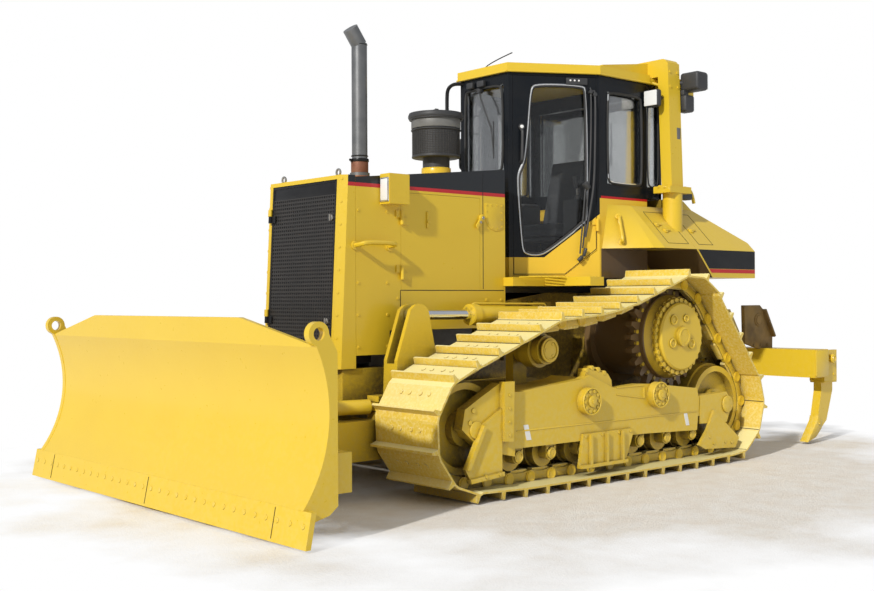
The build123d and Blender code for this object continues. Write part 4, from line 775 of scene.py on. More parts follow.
def link_boss():
    clear()
    bpy.ops.mesh.primitive_cylinder_add(vertices=14, radius=0.040, depth=0.030, location=(0, 0, 0.015))
    boss = bpy.context.object
    pick_top(boss)
    bpy.ops.mesh.inset(thickness=0.008, depth=0)
    bpy.ops.mesh.extrude_region_move(TRANSFORM_OT_translate={"value": (0, 0, 0.004)})
    bpy.ops.mesh.inset(thickness=0.010, depth=-0.004)
    mode("OBJECT")
    return boss


spots = []
for x, z, heading in pins:
    for y, way in ((TRACK_Y + 100, 1), (TRACK_Y - 100, -1)):
        spots.append(facing((x + 4 * sin(heading), y, z - 4 * cos(heading)), (0, way, 0)))
settle_pair("link_bosses", copies(link_boss(), spots), PAINT)
print("shoe bolts", len(heads), "link bosses", len(spots), "a side")

# %% [markdown]
# Outside the flat rails the real links have forged sides, with a swelling round each pin and a waist between.
# One is cut as a plate and laid from each pin to the next. A dark strip marks the gap where two shoes meet.

# %% Forged link sides and shoe gaps
def link_side():
    points = [(87.4 * way + 34 * sin(radians(turn)), 36 * cos(radians(turn)))
        for way, first in ((1, 0), (-1, 180)) for turn in range(first, first + 181, 30)]
    points = points[:7] + [(30, -24), (-30, -24)] + points[7:] + [(-30, 26), (30, 26)]
    side = plate(points, "y", 0, 9, 2)
    side.data.transform(Matrix.Translation(-at(0, 0, 0)))
    return side


sides, gaps = [], []
for (x, z, heading), (x2, z2, _) in zip(pins, pins[1:] + pins[:1]):
    lean = math.atan2(z2 - z, x2 - x)
    for y in (TRACK_Y + 100.4, TRACK_Y - 109.4):
        spot = at((x + x2) / 2, y, (z + z2) / 2)
        sides.append(Matrix.Translation(spot) @ Matrix.Rotation(-lean, 4, "Y"))
    out_x, out_z = x + 45.6 * sin(heading), z - 45.6 * cos(heading)
    gaps.append(Matrix.Translation(at(out_x, TRACK_Y, out_z)) @ Matrix.Rotation(-heading, 4, "Y"))
settle_pair("link_sides", copies(link_side(), sides), PAINT_LOW)
half_strip = Vector((0.0025, 0.278, 0.0015))
strip = cube(-half_strip, half_strip)
settle_pair("shoe_gaps", copies(strip, gaps), BLACK)
print("forged sides", len(sides), "a side")

# %% [markdown]
# The final drive wears a bolted cap: a rim of bolts, four oil plugs and a raised ring round the middle. The
# sprocket's toothed segments are bolted on behind it.

# %% Final drive caps
parts = bolt_ring((0, 1082, HUB_Z), 255, 30, 20, 22)
parts += bolt_ring((0, 974, HUB_Z), 322, 25, 15, 12, 0.12)
parts.append(peg((0, 1070, HUB_Z), 18, 268, 4, 64))
for x, z, size in ((-42, 1052, 27), (98, 1044, 36), (112, 880, 34), (-104, 872, 36)):
    parts += [peg((x, 1112, z), 12, size, 3), ring_bar((x, 1125, z), LEFT, size - 5, 7, 24)]
    parts += bolts([(x, 1120, z)], LEFT, size * 0.5, 8)
parts.append(ring_bar((0, 1140, HUB_Z), LEFT, 55, 6))
parts += bolt_ring((0, 1140, HUB_Z), 34, 3, 9, 6, 0.5)
settle_pair("final_drive_fittings", parts, PAINT_LOW)

# %% [markdown]
# Rollers, idlers and the caps of the cross shafts get their collars and bolts. The labels are blank plates.

# %% Roller frame fittings
FIRST_ROLLER, ROLLER_STEP, ROLLER_Z = -105, 294, 231
parts = []
for x in range(FIRST_ROLLER, FIRST_ROLLER + 7 * ROLLER_STEP, ROLLER_STEP):
    parts += [peg((x, 1118, ROLLER_Z), 16, 37, 4), ring_bar((x, 1134, ROLLER_Z), LEFT, 26, 4, 20)]
    parts += bolts([(x - 33, 1120, 262), (x + 33, 1120, 262)], LEFT, 11, 8)
for x, z in ((1062, 537), (350, 538)):
    parts += bolt_ring((x, 1200, z), 66, 10, 13, 10)
    parts += [peg((x, 1196, z), 20, 38, 5), ring_bar((x, 1202, z), LEFT, 84, 6, 40)]
    parts += bolts([(x, 1214, z)], LEFT, 18, 12)
for x, z in ((2087, 470), (2060, 540)):
    parts += bolts([(x, 1150, z)], LEFT, 16, 12)
parts += [peg((2040, 1148, 425), 14, 52, 4), peg((-490, 1148, 420), 16, 62, 5)]
parts += bolt_ring((-490, 1162, 420), 42, 4, 10, 7, 0.4)
parts += [peg((1320, 1068, 870), 14, 80, 6), ring_bar((1320, 1083, 870), LEFT, 60, 5)]
parts += bolt_ring((1320, 1080, 870), 42, 3, 11, 8)
guard_bolts = [(1797, 1190, z) for z in (380, 460, 540, 620)] + [(1880, 1190, 152), (1990, 1190, 148)]
guard_bolts += [(-520, 1170, 140), (-440, 1170, 150), (-300, 1170, 150), (-250, 1170, 200)]
guard_bolts += [(640, 1170, 312), (760, 1170, 312), (930, 1170, 312), (1090, 1170, 312)]
parts += bolts(guard_bolts, LEFT, 11, 8)
for x0, z0, x1, z1 in ((480, 606, 760, 606), (470, 595, 470, 520), (470, 520, 760, 560)):
    parts.append(rod((x0, 1150, z0), (x1, 1150, z1), 5, 0, 8))
parts.append(block((-126, 1140, 385), (1700, 1154, 397), 5))
for x, z, size in ((840, 700, 18), (900, 725, 18), (960, 738, 18), (1010, 725, 18)):
    parts.append(rod((x, 1050, z), (x, 1122, z + 4), size, 4, 16))
settle_pair("roller_frame_fittings", parts, PAINT_LOW)

stickers = [plate([(1570, 330), (1612, 330), (1640, 425), (1598, 425)], "y", 1149, 1151.5, 0),
    plate([(-36, 300), (2, 300), (30, 392), (-8, 392)], "y", 1149, 1151.5, 0)]
settle_pair("blank_labels", stickers, WHITE)
print("roller frame dressed")

# %% [markdown]
# Two square headlamps look out of boxes on the hood's shoulders, each with a rounded grey rim and a pale
# lens.

# %% Headlamps
rim = block((2162, 424, 1806), (2171, 508, 1960), 14, 3)
lens = block((2166, 433, 1815), (2175, 499, 1951), 5, 3)
settle_pair("headlamp_rim", [rim], LAMP_RIM)
settle_pair("headlamp_lens", [lens], LENS)
screws = bolts([(2171, y, z) for y in (430, 502) for z in (1812, 1954)], AHEAD, 4, 3)
settle_pair("headlamp_screws", screws, STEEL)
print("headlamps fitted")

# %% [markdown]
# The grille is a steel sheet punched with about a thousand round holes, in a leaning door. One square cell
# with an eight-sided hole is repeated both ways, given its thickness, and leaned back to lie on the door's
# face.

# %% Perforated grille
HOLE_STEP, HOLE_R, ACROSS, UPWARD = 24, 8.2, 28, 39
SHEET = (-336, 912, 336, 1848)
DOOR_X, DOOR_FOOT, DOOR_RISE, DOOR_LEAN, DOOR_IN = 2512, 770, 1195, 62, 6


def door_face_x(z, out=0.0):
    return DOOR_X - (z - DOOR_FOOT) / DOOR_RISE * DOOR_LEAN - DOOR_IN + out


def perforated_sheet():
    half, z0 = HOLE_STEP / 2, SHEET[1]
    ring = [(cos(pi * k / 4), sin(pi * k / 4)) for k in range(8)]
    outer = [(half * a / max(abs(a), abs(b)), half * b / max(abs(a), abs(b))) for a, b in ring]
    spots = [at(2400, SHEET[0] + half + a, z0 + half + b) for a, b in outer]
    spots += [at(2400, SHEET[0] + half + HOLE_R * a, z0 + half + HOLE_R * b) for a, b in ring]
    sheet = from_faces(spots, [(k, (k + 1) % 8, 8 + (k + 1) % 8, 8 + k) for k in range(8)])
    for way, count in (((0, HOLE_STEP / 1000, 0), ACROSS), ((0, 0, HOLE_STEP / 1000), UPWARD)):
        reshape(sheet, "ARRAY", use_relative_offset=False, use_constant_offset=True, count=count,
            constant_offset_displace=way, use_merge_vertices=True, merge_threshold=0.0005)
    reshape(sheet, "SOLIDIFY", thickness=0.0018, offset=1)
    flat = at(2400, 0, 0).x
    for vertex in sheet.data.vertices:
        z = (vertex.co.z - GROUND) * 1000
        vertex.co.x = at(door_face_x(z, 1.2), 0, 0).x + (vertex.co.x - flat)
    return sheet


settle("grille_sheet", [perforated_sheet()], MESH, "grille_door", smooth=20)


def leaning(y0, z0, y1, z1, out0, out1, rounding=2):
    """A plate lying on the grille door's leaning face."""
    outline = [(door_face_x(z0, out0), z0), (door_face_x(z0, out1), z0), (door_face_x(z1, out1), z1),
        (door_face_x(z1, out0), z1)]
    return plate(outline, "y", y0, y1, rounding)


parts = [leaning(-350, 900, 350, 912, -2, 6), leaning(-350, 1922, 350, 1935, -2, 6),
    leaning(-350, 900, -336, 1935, -2, 6), leaning(336, 900, 350, 1935, -2, 6)]
settle("grille_frame", parts, BLACK, "grille_door")
settle("grille_top_band", [leaning(-336, 1848, 336, 1922, -1, 3)], BLACK, "grille_door")
parts = []
for y, z in ((310, 1704), (300, 1062)):
    x = door_face_x(z, 5)
    parts += [rod((x - 4, y, z), (x + 9, y, z), 21, 4), block((x + 6, y - 5, z - 22), (x + 20, y + 5, z + 22),
        4)]
settle("grille_latches", parts, STEEL, "grille_door")
print("grille punched with", ACROSS * UPWARD, "holes")

# %% [markdown]
# The engine's side has a round grab bar on two feet, a bolted access panel with a curved foot, and two
# latches. Seams are narrow dark strips a hair proud of the sheet.

# %% Engine sides
grab = bent_bar([(2095, 418, 1530), (2095, 490, 1536), (2120, 504, 1545), (2240, 506, 1548), (2340, 504, 1545),
    (2366, 490, 1536), (2366, 418, 1530)], 15)
parts = [grab, peg((2095, 419, 1530), 9, 28, 2), peg((2366, 419, 1530), 9, 28, 2)]
panel = [(1078, 1850), (1253, 1850), (1253, 1756), (1236, 1706), (1204, 1676), (1160, 1662), (1112, 1664),
    (1078, 1680)]
parts.append(plate(panel, "y", 419.5, 424, 2))
rim_spots = [(1092, 1836), (1140, 1838), (1190, 1838), (1238, 1836), (1240, 1796), (1238, 1750), (1218, 1708),
    (1180, 1684), (1132, 1678), (1092, 1694), (1092, 1740), (1092, 1788)]
parts += bolts([(x, 424, z) for x, z in rim_spots], LEFT, 7, 5)
parts += bolts([(2024, 420, 1202), (1100, 420, 1130), (1100, 420, 1190), (1240, 420, 1190)], LEFT, 11, 8)
parts += bolts([(x, 420, z) for x in (2110, 2340) for z in (900, 1100, 1300, 1750)], LEFT, 10, 7)
settle_pair("side_fittings", parts, PAINT)
seams = [block((1268, 419.4, 1264), (1273, 420.8, 2050), 0), block((1075, 419.4, 1252), (2000, 420.8, 1257),
    0), block((2000, 419.4, 1000), (2005, 420.8, 1255), 0)]
settle_pair("side_seams", seams, BLACK)
parts = [peg((1286, 420, 1745), 13, 26, 3), ring_bar((1286, 434, 1745), LEFT, 20, 5, 24),
    plate([(1270, 1752), (1296, 1768), (1352, 1690), (1336, 1664)], "y", 430, 440, 4)]
settle_pair("side_latch", parts, PAINT, ("left_engine_door", "right_engine_door"))
lock = [peg((1286, 433, 1745), 11, 12, 3), peg((1312, 440, 1715), 8, 9, 2)]
settle_pair("latch_lock", lock, STEEL, ("left_engine_door", "right_engine_door"))
parts = [block((1760, 420, 1658), (1782, 430, 1766), 6, 3), peg((1771, 428, 1700), 10, 12, 3)]
settle_pair("door_pull", parts, PAINT, ("left_engine_door", "right_engine_door"))
print("engine sides fitted")

# %% [markdown]
# The exhaust pipe has a heat-browned foot and a clamp. The air cleaner has a wire-mesh bowl under a pale
# band, a black lid with a wing nut, and a yellow neck.

# %% Exhaust and air cleaner
PIPE_X, CLEANER, BOWL_R = 2000, 1320, 167
parts = [rod((PIPE_X, 0, 2010), (PIPE_X, 0, 2110), 58, 3, 32), ring_bar((PIPE_X, 0, 2012), UP, 64, 7)]
settle("exhaust_foot", parts, RUST)
parts = [rod((PIPE_X, 0, 2110), (PIPE_X, 0, 2132), 62, 4, 32), ring_bar((PIPE_X, 0, 2150), UP, 54, 4),
    rod((2062, 0, 2121), (2084, 0, 2121), 8, 2), ring_bar((PIPE_X, 0, 2890), UP, 53, 3)]
settle("exhaust_clamp", parts, BLACK)


def stack(low, high, radius, rounding, sides=24, tip=None):
    """A round layer of the air cleaner between two heights."""
    return rod((CLEANER, 0, low), (CLEANER, 0, high), radius, rounding, sides, tip)


wires = []
for k in range(54):
    a = 2 * pi * k / 54
    x, y = CLEANER + BOWL_R * cos(a), BOWL_R * sin(a)
    wires.append(rod((x, y, 2200), (x, y, 2378), 1.8, 0, 5))
for z in range(2204, 2380, 12):
    wires.append(ring_bar((CLEANER, 0, z), UP, BOWL_R, 1.5, 40))
settle("cleaner_mesh", wires, MESH)
parts = [stack(2188, 2204, 171, 4, 48), ring_bar((CLEANER, 0, 2382), UP, 171, 6, 48)]
parts += [stack(2462, 2492, 196, 8, 48), stack(2496, 2512, 150, 6, 40, 120)]
parts += [stack(2508, 2540, 7, 2, 12), block((CLEANER - 5, -26, 2520), (CLEANER + 5, 26, 2536), 4)]
settle("cleaner_lid", parts, PLASTIC)
settle("cleaner_band", [stack(2392, 2460, 174, 5, 48)], GREY)
parts = [stack(2060, 2112, 104, 6, 40), ring_bar((CLEANER, 0, 2112), UP, 98, 6)]
settle("cleaner_neck", parts, PAINT)
eye = [ring_bar((2400, 300, 1988), AHEAD, 20, 7, 24), rod((2400, 300, 1960), (2400, 300, 1972), 16, 2)]
settle("hood_lifting_eyes", eye + [mirrored(part) for part in eye], STEEL)
print("exhaust and cleaner fitted")

# %% [markdown]
# The cab's door stands in a slanting wall. Its fittings are placed by the way back along that wall, the
# height, and how far they stand off it, and each rides on the door so that it swings with it.

# %% Door wall
def on_wall(back, z, out=0.0):
    x, y = WALL_CORNER
    return (x - WALL_BACK * back + WALL_OUT * out, y + WALL_OUT * back + WALL_BACK * out, z)


WINDOW = [(102, 1559), (135, 1519), (255, 1519), (581, 1764), (581, 2730), (172, 2730), (148, 2420),
    (124, 2175), (70, 2080)]


def softened(points, share=0.16):
    """The outline with two points near each corner, for a closed trim that turns in a small arc."""
    made = []
    for before, spot, after in zip(points[-1:] + points[:-1], points, points[1:] + points[:1]):
        for other in (before, after):
            length = math.dist(spot, other)
            step = min(34, length * share * 2)
            made.append(tuple(s + (o - s) * step / length for s, o in zip(spot, other)))
    return made


def window_trim(grow, out, radius):
    middle_a = sum(a for a, _ in WINDOW) / len(WINDOW)
    middle_z = sum(z for _, z in WINDOW) / len(WINDOW)
    spots = []
    for a, z in softened(WINDOW):
        length = math.hypot(a - middle_a, z - middle_z)
        spots.append(on_wall(a + grow * (a - middle_a) / length, z + grow * (z - middle_z) / length, out))
    return bent_bar(spots, radius, 3, True)


DOORS = ("left_cab_door", "right_cab_door")
settle_pair("window_bead", [window_trim(10, 2, 7)], LAMP_RIM, DOORS)
settle_pair("window_seal", [window_trim(-2, 0, 9)], RUBBER, DOORS)
grip = bent_bar([on_wall(91, 2176, 0), on_wall(91, 2180, 26), on_wall(91, 2200, 34), on_wall(93, 2290, 34),
    on_wall(95, 2385, 34), on_wall(95, 2405, 26), on_wall(95, 2410, 0)], 11)
boss = rod(on_wall(95, 2428, -2), on_wall(95, 2428, 18), 22, 3)
settle_pair("door_handle", [grip, boss], PLASTIC, DOORS)
button = rod(on_wall(95, 2428, 16), on_wall(95, 2428, 24), 13, 3)
settle_pair("door_button", [button], WHITE, DOORS)
print("door trimmed")

# %% [markdown]
# A thin seam runs round the apron under the window. Long dark rods hang at the door's rear edge: the washer
# arm, its pipe and the door's gas strut.

# %% Apron seam and rods
apron = [(36, 1490), (36, 1374), (417, 1374), (655, 1556), (655, 1790)]
lines = [rod(on_wall(*a, 0.6), on_wall(*b, 0.6), 2.2, 0, 6) for a, b in zip(apron, apron[1:])]
settle_pair("apron_seam", lines, BLACK, DOORS)
rods = [bent_bar([on_wall(640, 2700, 12), on_wall(640, 2690, 40), on_wall(636, 2400, 44),
    on_wall(628, 2050, 44), on_wall(600, 1850, 40), on_wall(560, 1640, 36)], 8),
    bent_bar([on_wall(612, 2720, 10), on_wall(612, 2700, 32), on_wall(606, 2300, 36), on_wall(590, 2010, 38),
    on_wall(540, 1560, 34)], 6), bent_bar([on_wall(572, 2040, 20), on_wall(556, 1900, 34),
    on_wall(520, 1520, 34)], 6), rod(on_wall(508, 1468, 30), on_wall(538, 1500, 34), 15, 4),
    rod(on_wall(548, 1500, 30), on_wall(566, 1560, 34), 12, 4),
    rod(on_wall(590, 1990, 22), on_wall(560, 2030, 30), 24, 5),
    rod(on_wall(612, 2690, 0), on_wall(612, 2690, 36), 15, 3), rod(on_wall(640, 2670, 0),
    on_wall(640, 2670, 44), 15, 3)]
settle_pair("door_rods", rods, PLASTIC, DOORS)
box_spots = [on_wall(a, 2768, out) for a, out in ((430, 0), (590, 0), (590, 16), (430, 16))]
panel = plate([(x, y) for x, y, _ in box_spots], "z", 2742, 2790, 4)
settle_pair("dome_panel", [panel], PLASTIC, DOORS)
dots = [rod(on_wall(a, 2770, 14), on_wall(a, 2770, 20), 7, 2, 14) for a in (460, 492, 524)]
settle_pair("dome_lights", dots, WHITE, DOORS)
print("door rods and dome lights fitted")

# %% [markdown]
# The side window has a silver bead at its front. The windscreen has a wiper on a long arm, a mirror hung
# inside and two lamps under the roof.

# %% Windows of the cab
side = [(168, 2037), (-228, 2037), (-228, 2708), (168, 2708)]
loop = [(x, 592, z) for x, z in softened(side, 0.4)]
settle_pair("side_window_seal", [bent_bar(loop, 9, 3, True)], RUBBER)
bead = bent_bar([(-150, 594, 2048), (120, 594, 2044), (158, 594, 2060), (166, 594, 2110), (166, 594, 2640),
    (160, 594, 2690)], 6)
settle_pair("side_window_bead", [bead], LAMP_RIM)
loop = [(853, y, z) for y, z in softened([(198, 2112), (-198, 2112), (-198, 2738), (198, 2738)], 0.4)]
settle("windscreen_seal", [bent_bar(loop, 9, 3, True)], RUBBER)
arm = [bent_bar([(855, -20, 2720), (885, -18, 2712), (892, 40, 2590), (884, 104, 2440)], 7),
    bent_bar([(884, 104, 2440), (880, 100, 2480), (874, 112, 2340), (872, 122, 2220)], 5),
    block((862, 112, 2210), (872, 120, 2480), 3), rod((850, -20, 2716), (890, -20, 2716), 18, 4),
    block((852, -150, 2745), (888, -84, 2790), 8), block((852, -40, 2745), (888, 30, 2790), 8)]
settle("wiper", arm, PLASTIC)
frame_loop = [(800, y, z) for y, z in softened([(-80, 2420), (-190, 2420), (-190, 2560), (-80, 2560)], 0.4)]
settle("mirror", [bent_bar(frame_loop, 8, 3, True), rod((800, -135, 2560), (800, -135, 2700), 6)], PLASTIC)
print("cab windows dressed")

# %% [markdown]
# Outside the cab are a black grab rail at the front corner, a thin whip aerial, a work lamp on an arm in
# front of the roll-over post, and the dark lamps that hang behind the post.

# %% Rail, aerial and lamps
rail = bent_bar([(845, -225, 2800), (885, -245, 2802), (900, -290, 2798), (905, -335, 2770), (905, -342, 2690),
    (902, -342, 2500), (898, -340, 2330), (880, -336, 2290), (815, -290, 2280)], 14)
settle("front_rail", [rail], BLACK)
whip = [bent_bar([(770, -80, 2885), (775, -84, 2905), (780, 60, 2945), (780, 223, 2971)], 4),
    rod((770, -80, 2884), (772, -82, 2906), 12, 3), block((735, -120, 2884), (800, -40, 2890), 2)]
settle("aerial", whip, BLACK)
lamp = [block((-300, 598, 2632), (-246, 732, 2764), 22, 4), rod((-290, 664, 2700), (-350, 690, 2706), 14, 3),
    rod((-275, 665, 2626), (-275, 665, 2640), 9, 2)]
settle_pair("work_lamp", lamp, PLASTIC)
settle_pair("work_lamp_lens", [block((-248, 607, 2641), (-236, 723, 2755), 9, 4)], LENS)
rear = [block((-640, 735, 2765), (-505, 905, 2905), 24, 4), block((-610, 700, 2610), (-500, 800, 2740), 20, 4),
    rod((-500, 740, 2830), (-560, 790, 2830), 16, 3), block((-560, 690, 2735), (-500, 780, 2775), 6),
    rod((-485, 720, 2680), (-520, 740, 2680), 12, 3)]
settle_pair("rear_lamp", rear, PLASTIC)
glass = [block((-648, 745, 2775), (-637, 895, 2895), 8, 3), block((-618, 710, 2620), (-607, 790, 2730), 8, 3)]
settle_pair("rear_lamp_lens", glass, LENS)
print("lamps hung")

# %% [markdown]
# Behind the cab's packed shell the real cab goes on for a hand's breadth over the tank. It is a fixed bay of
# black posts and rails, with narrow side panes, a wide rear window and a short roof.

# %% Rear bay of the cab
posts = [block((-470, 562, 1952), (-291, 590, 2040), 4), block((-470, 562, 2700), (-291, 590, 2819), 4),
    block((-470, 545, 1952), (-430, 590, 2819), 6), block((-470, 0, 1952), (-444, 560, 2044), 4),
    block((-470, 0, 2696), (-444, 560, 2819), 4), block((-440, 0, 1952), (-291, 560, 1962), 3)]
settle_pair("rear_bay", posts, CAB)
settle_pair("rear_bay_glass", [block((-432, 573, 2038), (-292, 577, 2702), 0),
    block((-458, 0, 2042), (-454, 548, 2698), 0)], GLASS)
beads = [bent_bar([(x, 591, z) for x, z in softened([(-296, 2040), (-430, 2040), (-430, 2700), (-296, 2700)],
    0.4)], 6, 3, True)]
beads.append(bent_bar([(-471, y, z) for y, z in softened([(4, 2046), (548, 2046), (548, 2694), (4, 2694)],
    0.4)], 7, 3, True))
settle_pair("rear_bay_seal", beads, RUBBER)
settle("rear_bay_roof", [block((-486, -604, 2820.3), (-311, 604, 2868), 6)], PAINT)
rear_wiper = [rod((-472, 0, 2080), (-490, 0, 2080), 16, 3), bent_bar([(-488, 0, 2080), (-490, 60, 2240),
    (-486, 90, 2420)], 6), block((-484, 84, 2260), (-474, 96, 2600), 3)]
settle("rear_wiper", rear_wiper, PLASTIC)
print("rear bay built")

# %% [markdown]
# The seat is the machine's only soft piece. Each cushion starts as a box, is crowned by moving its middle
# outward, gets its sewn channels by drawing rows of points in, and is finished by a subdivision surface. No
# cloth simulation is needed, because the pads are firm foam under tight cloth.

# %% Cushions
def cushion(low, high, crown_axis, crown, channel_axis, channels):
    """A firm pad: crowned along one axis, with channels sewn across another."""
    low, high = at(*low), at(*high)
    pad = cube(low, high)
    mode("EDIT")
    bpy.ops.mesh.select_all(action="SELECT")
    bpy.ops.mesh.subdivide(number_cuts=11, smoothness=0)
    mode("OBJECT")
    middle, half = (low + high) / 2, (high - low) / 2
    for vertex in pad.data.vertices:
        share = [(vertex.co[k] - middle[k]) / half[k] for k in range(3)]
        flat = [k for k in range(3) if k != crown_axis]
        dome = (1 - share[flat[0]] ** 4) * (1 - share[flat[1]] ** 4)
        if share[crown_axis] > 0:
            vertex.co[crown_axis] += crown / 1000 * dome * share[crown_axis]
            groove = math.cos(share[channel_axis] * pi * channels / 2) ** 12 if channels else 0
            vertex.co[crown_axis] -= 0.010 * groove * dome * share[crown_axis]
        for k in flat:
            vertex.co[k] -= 0.012 * share[k] * (1 - abs(share[crown_axis])) ** 2 * abs(share[k]) ** 6
    reshape(pad, "BEVEL", width=0.022, segments=3, angle_limit=radians(50))
    reshape(pad, "SUBSURF", levels=1, render_levels=1)
    return pad


def tilted(piece, angle, pivot):
    clear()
    piece.select_set(True)
    bpy.context.view_layer.objects.active = piece
    turn_back = Matrix.Translation(at(*pivot)) @ Matrix.Rotation(radians(angle), 4, "Y")
    piece.matrix_world = turn_back @ Matrix.Translation(-at(*pivot)) @ piece.matrix_world
    bpy.ops.object.transform_apply()
    return piece


SEAT_Z, BACK_LEAN, BACK_PIVOT = 1405, -14, (-10, 0, 1770)
base_pad = cushion((-108, -222, SEAT_Z + 262), (322, 222, SEAT_Z + 358), 2, 12, 0, 3)
settle("seat_cushion", [base_pad], FABRIC, smooth=60)
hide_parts("seat")
back_pad = tilted(cushion((-75, -212, SEAT_Z + 372), (12, 212, SEAT_Z + 880), 0, 14, 2, 3), BACK_LEAN,
    BACK_PIVOT)
settle("seat_back", [back_pad], FABRIC, smooth=60)
parts = [block((-84, -144, SEAT_Z + 2), (194, 144, SEAT_Z + 26), 6),
    block((-40, -110, SEAT_Z + 20), (150, 110, SEAT_Z + 220), 14, 3),
    block((-100, -190, SEAT_Z + 222), (300, 190, SEAT_Z + 258), 8)]
parts += [tilted(block((-96, -185, SEAT_Z + 372), (-78, 185, SEAT_Z + 860), 8, 3), BACK_LEAN, BACK_PIVOT)]
for z in range(SEAT_Z + 60, SEAT_Z + 220, 32):
    parts.append(block((-48, -118, z), (158, 118, z + 12), 5, 3))
settle("seat_stand", parts, PLASTIC)
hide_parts("seat")
print("seat upholstered")

# %% [markdown]
# Two consoles carry the levers, each a thin steel stem in a boot with a shaped black grip. A small dash with
# a dark screen stands in front, and two pedals below it.

# %% Controls
for side, y in (("left", 365), ("right", -365)):
    console_top = SEAT_Z + 520
    stem = [rod((240, y, console_top - 2), (252, y, console_top + 105), 8, 2, 16)]
    settle(side + "_lever", stem, STEEL)
    grip = [rod((250, y, console_top + 88), (264, y, console_top + 178), 17, 7, 20, 24),
        rod((240, y, console_top - 2), (246, y, console_top + 40), 34, 3, 24, 12),
        block((232, y - 17, console_top + 150), (250, y + 17, console_top + 180), 5)]
    grip.append(block((-60, y - 62, console_top), (120, y + 62, console_top + 26), 14, 3))
    settle(side + "_lever_grip", grip, PLASTIC)
screen = [block((684, -110, SEAT_Z + 400), (690, 110, SEAT_Z + 540), 4)]
settle("dash_screen", screen, DARK_LENS)
pedals = [block((600, y - 35, SEAT_Z + 60), (612, y + 35, SEAT_Z + 150), 5) for y in (-120, 120)]
pedals += [rod((606, y, SEAT_Z + 4), (606, y, SEAT_Z + 66), 8) for y in (-120, 120)]
settle("pedals", pedals, PLASTIC)
print("levers and pedals set")

# %% [markdown]
# The fenders carry a grab handle and the seams of their hatches; the tank carries a dark band with the red
# line and nothing written on it. The roll-over guard shows its bolts.

# %% Fenders, tank and guard
SLOPE, SLOPE_Y, SLOPE_Z = ((930, 1560), (620, 1885)), 0.7236, 0.6902
TANK_SIDE = (929.6, 931)
handle = bent_bar([(136, 692, 1600), (166, 726, 1604), (172, 732, 1626), (150, 700, 1700), (130, 668, 1776),
    (122, 658, 1798), (96, 626, 1796)], 12)
pads = [rod((134, 690, 1600), (142, 700, 1603), 24, 3), rod((98, 628, 1794), (106, 638, 1800), 24, 3)]
settle_pair("fender_handle", [handle] + pads, PAINT)


def slope_spot(x, share, out=0.0):
    """A place on the fender's sloping top, from its outer edge, 0, to the cab, 1."""
    (y0, z0), (y1, z1) = SLOPE
    return (x, y0 + (y1 - y0) * share + SLOPE_Y * out, z0 + (z1 - z0) * share + SLOPE_Z * out)


lines = []
for x0, x1 in ((-395, -150), (-700, -520)):
    ring = [(x0, 0.12), (x1, 0.12), (x1, 0.86), (x0, 0.86)]
    for (xa, sa), (xb, sb) in zip(ring[:1] * 2 + ring[1:3], ring[1:2] + ring[3:] + ring[2:4]):
        lines.append(rod(slope_spot(xa, sa, 0.8), slope_spot(xb, sb, 0.8), 1.6, 0, 6))
settle_pair("hatch_seams", lines, BLACK)
parts = []
for x, share in ((-180, 0.55), (-235, 0.42), (-560, 0.45)):
    parts += [rod(slope_spot(x, share, -1), slope_spot(x, share, 9), 24, 3, 24),
        rod(slope_spot(x, share, 8), slope_spot(x, share, 14), 11, 2, 6)]
    parts.append(rod(slope_spot(x - 8, share, 6), slope_spot(x - 52, share, 8), 7, 2, 10))
settle_pair("hatch_latches", parts, PAINT)
dark = [(-463, 1559), (-597, 1418), (-1203, 1418), (-1203, 1559)]
settle_pair("tank_band", [plate(dark, "y", *TANK_SIDE, 0)], BLACK)
thin = [(-600, 1415), (-627, 1387), (-1203, 1387), (-1203, 1415)]
settle_pair("tank_line", [plate(thin, "y", *TANK_SIDE, 0)], RED)
feet = [(x, y) for x in (-530, -300) for y in (705, 760)]
parts = copies(bolt(15, 14), [facing((x, y, 2035), UP) for x, y in feet])
parts += bolts([(x, y, 2010) for x, y in feet], DOWN, 15, 14)
parts += bolts_on("rops", [(-415 + dx, 1200, z) for dx in (-45, 45) for z in (2790, 2900)], RIGHT, 13, 9)
settle_pair("guard_bolts", parts, PAINT)
label = touch("rops", (-452, 1200, 2440), RIGHT)[0]
label_y = label.y * 1000
settle_pair("post_label", [block((-474, label_y - 2, 2392), (-430, label_y + 1.5, 2482), 1)], GREY)
parts = [block((-430, 575, 2700), (-400, 640, 2860), 5), peg((-415, 560, 2850), 140, 16, 3),
    rod((-330, 560, 2850), (-420, 690, 2790), 12, 3), block((-350, 540, 2830), (-300, 600, 2880), 8)]
settle_pair("guard_brackets", parts, PAINT)
parts = [block((-690, 640, 1952), (-510, 720, 2005), 14, 3)]
settle_pair("tank_cap_box", parts, PLASTIC)
rail = bent_bar([(-500, 690, 2020), (-560, 690, 2040), (-660, 692, 2040), (-715, 694, 2010),
    (-735, 696, 1930)], 13)
settle_pair("tank_rail", [rail], PAINT)
grips = [peg((x, 525, 1345), 175, 5, 0, 8) for x in range(720, 1060, 34)]
grips += [peg((x, 640, 1345), 210, 5, 0, 8) for x in range(600, 700, 34)]
settle_pair("step_grips", grips, PAINT)
print("fenders and tank dressed")

# %% [markdown]
# A cylinder's barrel ends in a gland, a short thick collar with bolts where the bright rod comes out, and a
# steel pipe runs along the barrel to it. They ride on the barrel, so they swing as it does.

